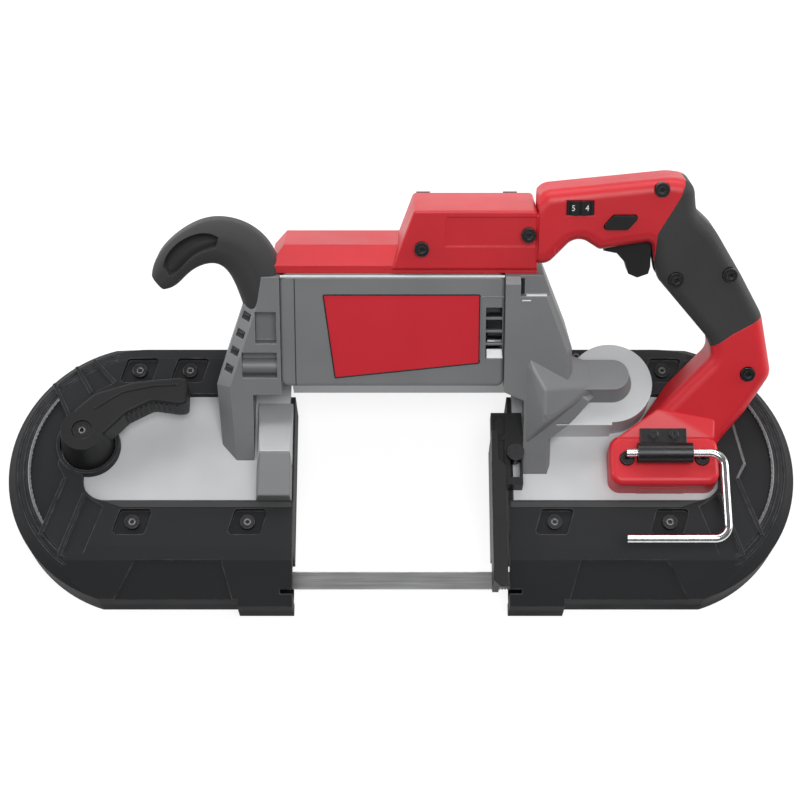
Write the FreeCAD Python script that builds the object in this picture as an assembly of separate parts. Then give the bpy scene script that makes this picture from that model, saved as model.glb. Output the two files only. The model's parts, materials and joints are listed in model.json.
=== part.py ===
import FreeCAD, Part
import math
import os

V = FreeCAD.Vector
X_DIR = V(1, 0, 0)
Z_DIR = V(0, 0, 1)

# Lengths are in millimetres. The deck lies flat: x runs along the saw, y up the deck, z off the deck.
# Pieces that belong to the cutting plane are drawn flat as well and then turned about x by the tilt.

# Fits
overrun = 5.0
run_gap = 0.3
shaft_gap = 0.05
seat_gap = 0.02

# Overall layout
tilt_deg = 40.0
axis_drop = 42.32
reach = 600.0

# Wheels
wheel_span = 335.4
wheel_radius = 74.3
wheel_width = 17.0
wheel_back = 3.5
tyre_thick = 3.0
rim_thick = 6.0
web_thick = 5.0
hub_radius = 17.0
spoke_hole_radius = 13.0
spoke_ring_radius = 43.0
spoke_holes = 6
axle_radius = 8.0
bearing_radius = 13.0
bearing_width = 6.0
nut_radius = 12.0
nut_height = 2.6

# Blade
blade_width = 12.7
blade_thick = 0.6
blade_lift = 4.6
blade_level = 14.6
band_gap = 0.8
guide_left_x = -86.0
guide_right_x = 84.0
tooth_pitch = 1.8
tooth_depth = 0.9
tooth_gullet_share = 0.3
twist_steps = 8

# Main frame
plate_front = 36.0
plate_thick = 6.0
bridge_low = 66.0
bridge_high = 101.0
bridge_back = 24.5
channel_back = 2.0
channel_wall = 3.5
channel_high = 86.0
channel_half = 103.0
gear_bay_wall = 3.0
gear_bay_rim = 4.0
boss_rise = 9.0
boss_wall = 4.0

# Guards
guard_clear = 14.7
guard_top_flat = 3.0
guard_low_flat = 4.0
guard_front = 42.0
guard_shoulder = 28.0
guard_wall = 3.0
guard_inner_x = 69.5
slot_high = -56.0
guard_upper_x = 106.0
guard_foot_x = 105.0
guard_foot_drop = 4.3
guard_round = 6.0
guard_crown = 14.0
shoulder_rise_share = 0.68
top_inset_share = 0.35
skirt_top_in = 31.3
skirt_mid_in = 22.0
skirt_low_in = 2.0
skirt_mid_level = 40.0
skirt_low_level = 28.0
skirt_wall = 4.0
panel_depth = 1.6
panel_near_top = 114.7
panel_near_low = 105.5
panel_far_top = 170.0
panel_far_low = 190.0
shelf_wide = 6.2
shelf_depth = 2.6
shelf_far_low = 169.8
shelf_far_high = 181.7
window_far_x = 206.0
window_low = -23.6
window_high = 49.7
window_corner = 15.0
pocket_long = 21.0
pocket_tall = 17.0
pocket_lean = 5.0
pocket_depth = 4.0
pocket_corner = 2.5
crescent_outer = 73.0
crescent_depth = 2.6
crescent_shares = [(0.681, 0.638), (0.543, 0.357), (0.616, 0.011), (0.557, -0.101), (0.709, -0.53)]
low_panel_shares = [(0.411, -0.219), (0.566, -0.679), (0.431, -0.767), (0.269, -0.31)]
high_panel_shares = [(0.524, 0.77), (0.401, 0.826), (0.235, 0.649), (0.4, 0.562)]
relief_depth = 1.3
ridge_wide = 2.4
ridge_rise = 1.0
rim_lines = [(8.0, 38.2), (12.2, 40.3)]
rim_line_wide = 1.3
rim_line_start = 20.0
guard_screw_low_y = -38.0
guard_screw_high_y = 66.5
guard_screw_near_x = 98.5
guard_screw_far_x = 172.5
guard_screw_mid_x = 139.3
guard_screw_in_x = 116.0
guard_screw_in_y = 76.5
guard_screw_long = 4.6

# Screws
screw_head_radius = 4.6
screw_head_high = 4.0
screw_shank_radius = 2.5
screw_shank_long = 9.0
socket_radius = 2.3
socket_deep = 2.4

# Motor housing, in the cutting plane
housing_left = -77.0
housing_right = 66.0
housing_low = 78.0
housing_high = 152.0
housing_front = 24.0
housing_back = -36.0
housing_corner = 5.0
motor_u = 100.0
motor_w = -3.0
motor_bay_radius = 20.0
motor_bay_left = -62.0
label_left = -49.4
label_right = 50.0
label_low = 84.0
label_high = 139.3
label_deep = 1.4
label_plate_thick = 1.2
label_shares = [(0, 1), (1, 1), (1, 0.18), (0.07, 0)]
vent_left = 54.0
vent_right = 64.5
vent_low = 97.0
vent_high = 131.0
vent_bars = 3
vent_bar = 1.6
housing_edge = 2.5

# Side bracket at the left end, in the cutting plane
bracket_far = -119.0
bracket_top = 151.0
bracket_back = -30.0
bracket_front = 17.0
bracket_foot = 20.0
bracket_shares = [(1, 1), (0.73, 1), (0.43, 0.84), (0, 0.44), (0.08, 0), (0.56, 0), (0.56, 0.4), (1, 0.4)]
bracket_face_deep = 9.0
bracket_knee = -96.0
ladder_long = 5.2
ladder_deep = 7.0
ladder_count = 4
bracket_cut_deep = 9.0
bracket_bar_radius = 5.5
bracket_cut_low = 84.0
bracket_cut_high = 101.0
bracket_cut_left = -102.0
bracket_panel_low = 107.0
bracket_panel_high = 128.0

# Gear case, in the cutting plane
case_right = 124.0
case_front = 30.0
case_back = -34.0
case_foot = 14.0
case_shares = [(0, 1), (0.42, 1), (0.74, 0.66), (0.76, 0.5), (1, 0.42), (0.78, 0.3), (0.53, 0.22), (0.53, 0),
               (0.24, 0), (0.24, 0.42), (0, 0.465)]
case_corner_left = 75.5
case_corner_low = 140.0
case_corner_deep = 7.0
case_step = 4.0
leg_right = 97.0

# Gear cover and shaft boss, on the deck
cover_radius = 27.0
cover_high = 58.0
cover_left = 100.0
cover_low = 22.0
boss_radius = 10.2
boss_high = 73.0
boss_base_radius = 13.5
boss_left = 116.0
fairing_line = [(20.0, 36.0), (20.0, 68.0), (38.0, 79.0), (68.0, 79.0), (72.0, 36.0)]
fairing_end_line = [(40.0, 36.0), (40.0, 68.0), (43.0, 72.0), (60.0, 72.0), (63.0, 36.0)]

# Gears
output_teeth = 48
pinion_teeth = 12
output_module = 2.0
pair_turn_deg = 121.8
gear_width = 7.5
gear_back = 25.0
counter_teeth = 30
motor_teeth = 16
motor_module = 1.25
counter_gear_wide = 6.0
counter_gear_x = 82.5
bevel_teeth = 26
bevel_pinion_teeth = 10
bevel_module = 1.2
bevel_face_share = 0.3
tip_share = 0.7
root_share = 1.05
tip_thick_share = 0.2
root_thick_share = 0.68
pitch_thick_share = 0.44
bevel_tip_share = 0.55
bevel_tip_thick_share = 0.1
bevel_root_thick_share = 0.42
bevel_sink_share = 1.6
shaft_radius = 5.0
motor_shaft_radius = 4.0
shaft_bearing_radius = 9.0
shaft_bearing_wide = 5.0

# Motor
stator_radius = 19.8
stator_bore = 11.5
stator_left = -30.0
stator_right = 20.0
coil_overhang = 5.0
coil_radius = 17.5
rotor_radius = 10.8
fan_left = 44.0
fan_right = 56.0
fan_radius = 19.0
fan_blades = 9
fan_disc = 2.0
fan_blade_thick = 1.8
motor_bearing_left = -56.0
motor_shaft_right = 88.5

# Top cover, in the cutting plane
cover_x_left = -83.0
cover_x_right = 86.0
cover_u_high = 166.0
cover_front = 18.0
cover_back = -38.0
cover_hip = 9.0
cover_hip_side = 8.0
box_left = 1.0
box_high = 193.0
box_back = -30.0
box_lean = 7.0
box_edge = 3.0
screw_inset = 12.0
box_panel_left = 28.0
box_panel_inset = 4.0
box_panel_deep = 0.9

# Rear handle, in the cutting plane
handle_front_w = 26.0
handle_back_w = -10.0
handle_split_w = 8.0
handle_round = 8.0
handle_left = 86.0
handle_right = 238.0
handle_low = 20.0
handle_top = 219.0
handle_shares = [(-0.12, 0.82), (0.025, 0.935), (0.54, 0.975), (0.635, 0.965), (0.65, 0.865),
                 (0.73, 0.81), (0.85, 0.66), (0.945, 0.53), (1, 0.33), (0.9, 0.2), (0.8, 0.1), (0.8, 0),
                 (0.31, 0), (0.42, 0.12), (0.745, 0.39), (0.735, 0.44), (0.5, 0.65), (0.47, 0.77),
                 (0.255, 0.743), (0.16, 0.79), (0.045, 0.698), (-0.12, 0.698)]
handle_corner_shares = [0.045, 0.05, 0.15, 0.05, 0.06, 0.2, 0.3, 0.12, 0.06, 0.05, 0.05, 0.045, 0.045,
                        0.08, 0.05, 0.05, 0.05, 0.02, 0.02, 0.05, 0.045, 0.045]
grip_shares = [(0.635, 1.05), (0.58, 0.92), (0.49, 0.8), (0.485, 0.66), (0.2, 0.5), (0.7, 0.4),
               (0.82, 0.47), (0.945, 0.525), (1.1, 0.6), (1.1, 1.05)]
handle_screw_shares = [(0.5, 0.943), (0.574, 0.652), (0.797, 0.668), (0.895, 0.338)]
foot_left = 134.0
foot_right = 204.0
foot_low = -17.0
foot_high = 16.0
foot_rise = 20.0
foot_corner = 8.0
foot_edge = 4.0
foot_screw_inset = 11.0
foot_screw_y = 0.0
foot_screw_long = 20.0

# Controls
trigger_low = 148.5
trigger_high = 176.0
trigger_left = 128.0
trigger_right = 158.0
trigger_half = 8.0
trigger_shares = [(0, 0.64), (0.2, 0.9), (0.5, 1), (1, 1), (1, 0.26), (0.96, 0.09), (0.73, 0), (0.54, 0.09),
                  (0.46, 0.36), (0.28, 0.58)]
trigger_travel = 7.0
dial_u = 196.0
dial_x = 111.5
dial_radius = 20.5
dial_high = 9.0
dial_w = 7.0
dial_notches = 20
dial_notch_radius = 0.8
button_x = 137.0
button_u = 187.0
button_long = 17.0
button_tall = 9.0
button_lean = 4.0
button_proud = 2.0
button_corner = 2.0
switch_left = 150.0
switch_right = 178.0
switch_low = 178.0
switch_high = 200.0
switch_half = 11.0

# Battery rail on the back of the box
rail_left = 10.0
rail_right = 76.0
rail_high = 191.0
rail_plate_thick = 4.0
rail_deep = 9.0
rail_thick = 5.0
rail_lip = 4.0
terminal_count = 4
terminal_thick = 1.2
terminal_long = 18.0
terminal_deep = 7.0

# Front handle, in the cutting plane
horn_places = [(-84.0, 130.0), (-92.5, 152.0), (-106.2, 168.5), (-121.7, 171.0), (-136.5, 164.5),
               (-148.4, 153.3),
               (-154.0, 146.5)]
horn_halves = [17.0, 16.2, 15.2, 14.4, 13.2, 11.0, 6.0]
horn_turns_deg = [38.0, 38.0, 58.0, 82.0, 100.0, 120.0, 129.0]
horn_half_deep = 16.0
horn_mid_w = 8.0
horn_round_share = 0.85
horn_hollow_places = [(-115.5, 173.2), (-125.5, 172.6), (-137.0, 166.5), (-145.0, 158.5), (-148.2, 154.5)]
horn_hollow_halves = [3.4, 6.2, 7.2, 6.2, 3.6]
horn_hollow_turns_deg = [74.0, 86.0, 102.0, 116.0, 122.0]
horn_hollow_deep = 13.0

# Blade guides
roller_radius = 6.0
roller_long = 10.0
roller_pin_radius = 3.0
roller_gap = 0.35
guide_block_half = 7.0
guide_block_near = 14.0
guide_block_far = 30.0
guide_block_half_deep = 15.0
backup_radius = 5.0
backup_long = 6.0
post_front = 52.0
post_far_x = 90.0
post_near_x = 71.0
post_low = -23.0
post_mid = 9.0
post_high = 45.0

# Work shoe
shoe_left = 58.4
shoe_thick = 4.0
shoe_front = 54.0
shoe_back = 8.0
shoe_low = -80.0
shoe_high = 20.0
shoe_arm_right = 78.5
shoe_arm_high = 34.0
shoe_arm_thick = 12.0
shoe_slot_half = 3.4
shoe_slot_low = -10.0
shoe_travel = 12.0
bite_high = 24.0
bite_deep = 10.0
clamp_radius = 3.0
clamp_head = 5.5
clamp_head_high = 5.0

# Hook
clip_left = 151.0
clip_right = 186.0
clip_low = -5.0
clip_high = 19.0
clip_plate = 4.0
clip_barrel = 6.5
clip_screw_radius = 1.6
clip_screw_head = 3.0
clip_screw_high = 1.8
hook_rod = 2.7
hook_left = 144.0
hook_right = 206.0
hook_drop = 57.0
hook_tail = 142.0
hook_bend = 9.0

# Tension lever and slide
lever_x = -203.5
lever_y = 14.5
lever_top = 70.0
lever_under = 50.0
lever_hub_radius = 13.5
lever_base_radius = 17.5
lever_base = 41.0
lever_reach = 66.0
lever_rise = 38.0
lever_shares = [(-0.12, 0.3), (0.1, 0.66), (0.5, 0.88), (0.92, 0.95), (1, 0.9), (1, 0.47), (0.9, 0.46),
                (0.66, 0.52), (0.42, 0.3), (0.2, -0.1)]
lever_corner_shares = [0.1, 0.3, 0.6, 0.05, 0.08, 0.08, 0.1, 0.2, 0.2, 0.1]
lever_edge = 2.0
lever_hole_radius = 6.5
lever_hole_deep = 5.0
collar_radius = 20.5
collar_bore = 18.3
collar_high = 44.0
cam_shaft_radius = 7.0
cam_radius = 8.0
cam_offset = 2.5
cam_thick = 5.5
slide_travel = 5.0
carriage_left = -228.0
carriage_right = -146.0
carriage_low = -22.0
carriage_high = 36.0
carriage_thick = 6.0
cam_window_half = 10.0
cam_window_tall = 28.0
slide_rail_high = 6.0
slide_rail_lip = 3.0
slide_rail_deep = 1.8
spring_radius = 3.0
spring_wire = 0.7
spring_turns = 6
spring_free = 24.0
spring_stop_thick = 4.0
spring_stop_half = 6.0
spring_y = -12.0
axle_head_radius = 11.0
axle_head = 2.4

guard_radius = wheel_radius + guard_clear
guard_top = guard_radius - guard_top_flat
guard_bottom = guard_radius - guard_low_flat
plate_inner_x = guard_inner_x + guard_wall + run_gap
wheel_mid = wheel_back + wheel_width / 2
wheel_front = wheel_back + wheel_width
wheel_x = wheel_span / 2
band_radius = wheel_radius + band_gap + blade_thick / 2
cos_tilt = math.cos(math.radians(tilt_deg))
sin_tilt = math.sin(math.radians(tilt_deg))
twist_deg = 90 - tilt_deg
blade_y = blade_lift - wheel_radius
blade_z = blade_level
pair_reach = output_module * (output_teeth + pinion_teeth) / 2
pinion_x = wheel_x + pair_reach * math.cos(math.radians(pair_turn_deg))
pinion_y = pair_reach * math.sin(math.radians(pair_turn_deg))
motor_y = motor_u * cos_tilt - motor_w * sin_tilt
motor_z = motor_u * sin_tilt + motor_w * cos_tilt
motor_reach = motor_module * (counter_teeth + motor_teeth) / 2
counter_y = pinion_y
counter_z = motor_z - math.sqrt(motor_reach ** 2 - (motor_y - counter_y) ** 2)
bevel_radius = bevel_module * bevel_teeth / 2
bevel_pinion_radius = bevel_module * bevel_pinion_teeth / 2
gear_bay_back = gear_back - run_gap
gear_bay_front = plate_front - gear_bay_wall
plate_back = plate_front - plate_thick
box_mid = (rail_left + rail_right) / 2


def outline(points, radii):
    """Closed wire with a rounded corner at every point that has a radius."""
    edges = []
    ends = []
    count = len(points)
    for i in range(count):
        before = V(*points[i - 1], 0)
        here = V(*points[i], 0)
        after = V(*points[(i + 1) % count], 0)
        to_before = (before - here).normalize()
        to_after = (after - here).normalize()
        half = to_before.getAngle(to_after) / 2
        cut = radii[i] / math.tan(half) if radii[i] else 0
        start = here + to_before * cut
        end = here + to_after * cut
        if radii[i]:
            inward = (to_before + to_after).normalize()
            middle = here + inward * (radii[i] / math.sin(half) - radii[i])
            edges.append((len(ends), Part.Arc(start, middle, end).toShape()))
        ends.append((start, end))
    wire = []
    arcs = dict(edges)
    for i in range(count):
        if i in arcs:
            wire.append(arcs[i])
        start = ends[i][1]
        end = ends[(i + 1) % count][0]
        if start.distanceToPoint(end) > seat_gap / 100:
            wire.append(Part.makeLine(start, end))
    return Part.Wire(wire)


def spread(shares, left, right, low, high):
    """Points of an outline from shares of a box."""
    return [(left + a * (right - left), low + b * (high - low)) for a, b in shares]


def sharp(points):
    return outline(points, [0] * len(points))


def slab(wire, low, high):
    face = Part.Face(wire)
    face.translate(V(0, 0, low))
    return face.extrude(V(0, 0, high - low))


def block(x0, x1, y0, y1, z0, z1):
    return Part.makeBox(x1 - x0, y1 - y0, z1 - z0, V(x0, y0, z0))


def rod(radius, x, y, low, high):
    return Part.makeCylinder(radius, high - low, V(x, y, low), Z_DIR)


def ring(outer, inner, x, y, low, high):
    return rod(outer, x, y, low, high).cut(rod(inner, x, y, low - overrun, high + overrun))


def bar_x(radius, y, z, left, right):
    return Part.makeCylinder(radius, right - left, V(left, y, z), X_DIR)


def tilted(shape):
    """Turns a piece drawn in the cutting plane into the deck frame."""
    turned = shape.copy()
    turned.rotate(V(0, 0, 0), X_DIR, tilt_deg)
    return turned


def above_deck(shape, level):
    return shape.cut(block(-reach, reach, -reach, reach, -reach, level))


def mirrored(shape):
    return shape.mirror(V(0, 0, 0), X_DIR)


def rounded_rim(solid, level, radius):
    """Rounds every edge that lies in the flat face at a level."""
    edges = []
    for edge in solid.Edges:
        box = edge.BoundBox
        if abs(box.ZMin - level) < seat_gap and abs(box.ZMax - level) < seat_gap:
            edges.append(edge)
    return solid.makeFillet(radius, edges)


def group(solids):
    return Part.makeCompound(solids)


def socket_screw(x, y, seat, long):
    """Socket head screw whose head stands on the seat level."""
    head = rod(screw_head_radius, x, y, seat, seat + screw_head_high)
    shank = rod(screw_shank_radius, x, y, seat - long, seat)
    socket = rod(socket_radius, x, y, seat + screw_head_high - socket_deep,
                 seat + screw_head_high + overrun)
    return head.fuse(shank).removeSplitter().cut(socket)


def screw_hole(x, y, seat, long):
    """Room for a screw and for its head above the seat."""
    shank = rod(screw_shank_radius + seat_gap, x, y, seat - long - seat_gap, seat + overrun)
    return shank.fuse(rod(screw_head_radius + run_gap, x, y, seat, seat + overrun))


def guard_screw_points(side):
    """Screw centres of one guard; on the right the inner upper one clears the gear cover."""
    points = [(guard_screw_near_x, guard_screw_low_y), (guard_screw_far_x, guard_screw_low_y)]
    points.append((guard_screw_far_x, guard_screw_high_y))
    if side < 0:
        points.append((guard_screw_mid_x, guard_screw_high_y))
    else:
        points.append((guard_screw_in_x, guard_screw_in_y))
    return [(side * x, y) for x, y in points]


def rim_outline(inset, top_inset, low_inset, inner_low, inner_high):
    """Outer line of the right guard, moved inward on its round, top and lower side."""
    radius = guard_radius - inset
    top = guard_top - top_inset
    low = guard_bottom - low_inset
    top_x = wheel_x + math.sqrt(radius ** 2 - min(top, radius) ** 2)
    low_x = wheel_x + math.sqrt(radius ** 2 - min(low, radius) ** 2)
    far = V(wheel_x + radius, 0, 0)
    top = min(top, radius)
    low = min(low, radius)
    wire = [Part.makeLine(V(inner_low, -low, 0), V(low_x, -low, 0))]
    wire.append(Part.Arc(V(low_x, -low, 0), far, V(top_x, top, 0)).toShape())
    wire.append(Part.makeLine(V(top_x, top, 0), V(inner_high, top, 0)))
    if inner_low != inner_high:
        wire.append(Part.makeLine(V(inner_high, top, 0), V(inner_high, window_high, 0)))
        wire.append(Part.makeLine(V(inner_high, window_high, 0), V(inner_low, window_high, 0)))
        wire.append(Part.makeLine(V(inner_low, window_high, 0), V(inner_low, -low, 0)))
    else:
        wire.append(Part.makeLine(V(inner_high, top, 0), V(inner_low, -low, 0)))
    return Part.Wire(wire)


def lifted(wire, level):
    moved = wire.copy()
    moved.translate(V(0, 0, level))
    return moved


def guard_shell():
    """Crowned outer form of the right guard, with its sloped skirt."""
    lines = []
    for inset in (0, guard_round, guard_crown):
        lines.append(rim_outline(inset, inset * top_inset_share, inset, guard_inner_x, guard_upper_x))
    base, shoulder, crown = lines
    middle = guard_shoulder + (guard_front - guard_shoulder) * shoulder_rise_share
    form = slab(base, 0, guard_shoulder)
    form = form.fuse(Part.makeLoft([lifted(base, guard_shoulder), lifted(shoulder, middle)], True, True))
    form = form.fuse(Part.makeLoft([lifted(shoulder, middle), lifted(crown, guard_front)], True, True))
    foot = block(guard_inner_x, guard_foot_x, -guard_bottom - guard_foot_drop, -guard_bottom + guard_wall,
                 0,
                 guard_shoulder)
    form = form.fuse(foot).removeSplitter().cut(skirt_wedge(0))
    return form.cut(skirt_panel())


def guard_window():
    """Line of the opening that shows the plate."""
    points = [(guard_inner_x - overrun, window_low), (window_far_x, window_low)]
    points += [(window_far_x, window_high), (guard_inner_x - overrun, window_high)]
    return outline(points, [0, window_corner, window_corner, 0])


def guard_hollow():
    """Room inside the right guard for the plate, the wheel and the blade."""
    inner = (guard_inner_x + guard_wall, guard_upper_x - overrun)
    low = slab(rim_outline(guard_wall, guard_wall, guard_wall, *inner), -overrun,
               guard_shoulder - guard_wall)
    inset = guard_round + guard_wall
    top_inset = guard_round * top_inset_share + guard_wall
    high = slab(rim_outline(inset, top_inset, guard_wall, *inner), -overrun, plate_front)
    slot = block(guard_inner_x - overrun, guard_inner_x + guard_wall + overrun, -guard_bottom + guard_wall,
                 slot_high, -overrun, plate_back)
    return [low, high.cut(skirt_wedge(skirt_wall)), slot]


def skirt_line():
    """Creases of the sloped skirt below the screws, from its top to its foot, as y and level."""
    return [(-guard_bottom + skirt_top_in, guard_front), (-guard_bottom + skirt_mid_in, skirt_mid_level),
            (-guard_bottom + skirt_low_in, skirt_low_level)]


def skirt_wedge(drop):
    """Everything in front of the skirt, lowered by a drop."""
    points = skirt_line()
    slope = (points[1][1] - points[2][1]) / (points[1][0] - points[2][0])
    far = points[2][0] - skirt_mid_in
    points.append((far, points[2][1] - slope * skirt_mid_in))
    spots = [V(0, y, level - drop) for y, level in points]
    spots += [V(0, far, reach), V(0, points[0][0], reach)]
    wedge = Part.Face(Part.makePolygon(spots + [spots[0]])).extrude(V(reach * 2, 0, 0))
    wedge.translate(V(-reach, 0, 0))
    return wedge


def skirt_panel():
    """Sunk panel in the middle of the skirt."""
    top = -guard_bottom + skirt_mid_in
    low = -guard_bottom - guard_foot_drop - overrun
    points = [(panel_near_top, top), (panel_near_low, low), (panel_far_low, low), (panel_far_top, top)]
    return skirt_wedge(panel_depth).common(slab(sharp(points), 0, reach))


def guard_pockets(side):
    """Leaning pockets round the screws."""
    pockets = []
    for x, y in guard_screw_points(side):
        left = x - pocket_long / 2
        right = x + pocket_long / 2
        low = y - pocket_tall / 2
        high = y + pocket_tall / 2
        points = [(left - pocket_lean / 2, low), (right - pocket_lean / 2, low)]
        points += [(right + pocket_lean / 2, high), (left + pocket_lean / 2, high)]
        shape = outline(points, [pocket_corner] * len(points))
        pockets.append(slab(shape, guard_front - pocket_depth, guard_front + overrun))
        pockets.append(screw_hole(x, y, guard_front - pocket_depth, guard_screw_long))
    return pockets


def on_guard(shares):
    """Points about the wheel's centre from shares of the guard's radius."""
    return [(wheel_x + a * guard_radius, b * guard_radius) for a, b in shares]


def strip(start, end, low, high):
    """Narrow raised bar between two points."""
    along = (V(*end, 0) - V(*start, 0)).normalize()
    side = V(-along.y, along.x, 0) * (ridge_wide / 2)
    corners = [V(*start, 0) - side, V(*end, 0) - side, V(*end, 0) + side, V(*start, 0) + side]
    return slab(sharp([(p.x, p.y) for p in corners]), low, high)


def guard_relief():
    """Crescent, sunk panels, rim lines and back shelf cut into the right guard's face."""
    inside = on_guard(crescent_shares)
    field = inside + [(reach, inside[-1][1]), (reach, inside[0][1])]
    crescent = rod(crescent_outer, wheel_x, 0, guard_front - crescent_depth, guard_front + overrun)
    cuts = [crescent.common(slab(sharp(field), 0, reach))]
    for shares in (low_panel_shares, high_panel_shares):
        cuts.append(slab(sharp(on_guard(shares)), guard_front - relief_depth, guard_front + overrun))
    half = block(wheel_x + rim_line_start, reach, -reach, reach, 0, reach)
    for inset, level in rim_lines:
        outer = guard_radius - inset
        line = ring(outer, outer - rim_line_wide, wheel_x, 0, level, guard_front + overrun)
        cuts.append(line.common(half))
    low = guard_top - shelf_wide
    points = [(guard_upper_x - overrun, low), (shelf_far_low, low), (shelf_far_high, guard_top + overrun)]
    points.append((guard_upper_x - overrun, guard_top + overrun))
    cuts.append(slab(sharp(points), guard_front - shelf_depth, guard_front + overrun))
    return cuts


def guard_ribs():
    """Raised bars at the ends of the crescent and beside the sunk panels."""
    crescent = on_guard(crescent_shares)
    low_panel = on_guard(low_panel_shares)
    high_panel = on_guard(high_panel_shares)
    pairs = [(crescent[0], crescent[1]), (crescent[3], crescent[4]), (low_panel[0], low_panel[1])]
    pairs += [(high_panel[0], high_panel[3]), (high_panel[1], high_panel[2])]
    base = guard_front - crescent_depth - relief_depth
    return [strip(start, end, base, guard_front + ridge_rise).cut(skirt_wedge(-ridge_rise)) for start,
            end in pairs]


def guard_form():
    """Right guard before the pieces that stand in its edge are cut from it."""
    form = guard_shell().cut(slab(guard_window(), plate_front, guard_front + overrun))
    form = form.cut(guard_hollow() + guard_relief())
    return form.fuse(guard_ribs())


def right_guard():
    form = guard_form().cut(guard_pockets(1))
    for piece in cover_blank(run_gap) + [gear_case()]:
        form = form.cut(piece)
    return form


def left_guard():
    form = mirrored(guard_form()).cut(guard_pockets(-1)).cut(side_bracket())
    collar = ring(collar_radius, collar_bore, lever_x, lever_y, plate_front, collar_high)
    hole = rod(collar_bore, lever_x, lever_y, plate_front - overrun, collar_high + overrun)
    return form.cut(hole).fuse(collar)


def guard_screws():
    points = guard_screw_points(-1) + guard_screw_points(1)
    seat = guard_front - pocket_depth
    return group([socket_screw(x, y, seat, guard_screw_long) for x, y in points])


def plate_half():
    """Right plate of the main frame, with a wall's width of room to the guard."""
    inset = guard_round + guard_wall + run_gap
    top_inset = guard_round * top_inset_share + guard_wall + run_gap
    line = rim_outline(inset, top_inset, skirt_mid_in + run_gap, plate_inner_x, plate_inner_x)
    return slab(line, plate_back, plate_front)


def gear_bay(grow, low, high):
    """Two round prisms over the output gear and its pinion."""
    big = rod(output_module * (output_teeth / 2 + 1) + run_gap + grow, wheel_x, 0, low, high)
    small = rod(output_module * (pinion_teeth / 2 + 1) + run_gap + grow, pinion_x, pinion_y, low, high)
    return [big, small]


def bridge():
    """Bar over the throat with the channel for the returning blade."""
    bar = block(-channel_half, channel_half, bridge_low, bridge_high, bridge_back, plate_front)
    low = block(-plate_inner_x, plate_inner_x, bridge_low, bridge_low + channel_wall, channel_back,
                plate_back)
    high = block(-channel_half, channel_half, channel_high - channel_wall, channel_high, channel_back,
                 plate_back)
    return bar.fuse([low, high])


def main_frame():
    plate = plate_half()
    form = plate.fuse([mirrored(plate), bridge(), spring_stop(), mirrored(guide_post())])
    form = form.fuse(gear_bay(gear_bay_rim, gear_bay_back, plate_back))
    form = form.cut(gear_bay(0, gear_bay_back - overrun, gear_bay_front))
    form = form.fuse(rod(bearing_radius + boss_wall, wheel_x, 0, plate_front, plate_front + boss_rise))
    cuts = []
    cuts.append(rod(bearing_radius + seat_gap, wheel_x, 0, gear_bay_front - overrun,
                    plate_front + boss_rise - boss_wall))
    cuts.append(rod(shaft_radius + run_gap, pinion_x, pinion_y, gear_bay_back, plate_front + overrun))
    cuts.append(rod(cam_shaft_radius + shaft_gap, lever_x, lever_y, plate_back - overrun,
                    plate_front + overrun))
    cuts.append(gear_rooms()[0])
    for side in (-1, 1):
        for x, y in guard_screw_points(side):
            cuts.append(screw_hole(x, y, guard_front - pocket_depth, guard_screw_long))
    for x in foot_screw_places():
        cuts.append(foot_screw_hole(x))
    return form.cut(cuts)


def foot_screw_places():
    return [foot_left + foot_screw_inset, foot_right - foot_screw_inset]


def foot_screw_hole(x):
    return screw_hole(x, foot_screw_y, plate_front + foot_rise - socket_deep, foot_screw_long)


def gear_back_plate():
    big, small = gear_bay(gear_bay_rim, wheel_front + run_gap * 2, gear_bay_back)
    hole = rod(bearing_radius + seat_gap, wheel_x, 0, 0, gear_bay_back + overrun)
    form = big.fuse(small).removeSplitter().cut(hole)
    return form.cut(rod(shaft_radius + shaft_gap, pinion_x, pinion_y, 0, gear_bay_back + overrun))


def motor_housing():
    """Box over the motor, drawn in the cutting plane and seated on the deck."""
    points = [(housing_left, housing_low), (housing_right, housing_low)]
    points += [(housing_right, housing_high), (housing_left, housing_high)]
    form = slab(outline(points, [housing_corner] * len(points)), housing_back, housing_front)
    form = rounded_rim(form, housing_front, housing_edge)
    form = form.cut(bar_x(motor_bay_radius, motor_u, motor_w, motor_bay_left, housing_right + overrun))
    label = spread(label_shares, label_left, label_right, label_low, label_high)
    form = form.cut(slab(sharp(label), housing_front - label_deep, housing_front + overrun))
    vent = block(vent_left, vent_right, vent_low, vent_high, motor_w, housing_front + overrun)
    bars = []
    for i in range(vent_bars):
        low = vent_low + (i + 1) * (vent_high - vent_low) / (vent_bars + 1)
        bars.append(block(vent_left - run_gap, vent_right + run_gap, low, low + vent_bar,
                          housing_front - vent_bar * 3, housing_front - vent_bar))
    form = form.cut(vent).fuse(bars).removeSplitter()
    end = bar_x(shaft_bearing_radius + seat_gap, motor_u, motor_w, motor_bearing_left - shaft_bearing_wide,
                motor_bay_left + overrun)
    return above_deck(tilted(form.cut(end)), plate_front)


def label_plate():
    label = spread(label_shares, label_left + run_gap, label_right - run_gap, label_low + run_gap,
                   label_high - run_gap)
    back = housing_front - label_deep
    return tilted(slab(sharp(label), back, back + label_plate_thick))


def bracket_line(inset):
    """Outline of the bracket, with its left end drawn in."""
    points = spread(bracket_shares, bracket_far, housing_left, bracket_foot, bracket_top)
    return [(x + inset if x < bracket_knee else x, u) for x, u in points]


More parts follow.
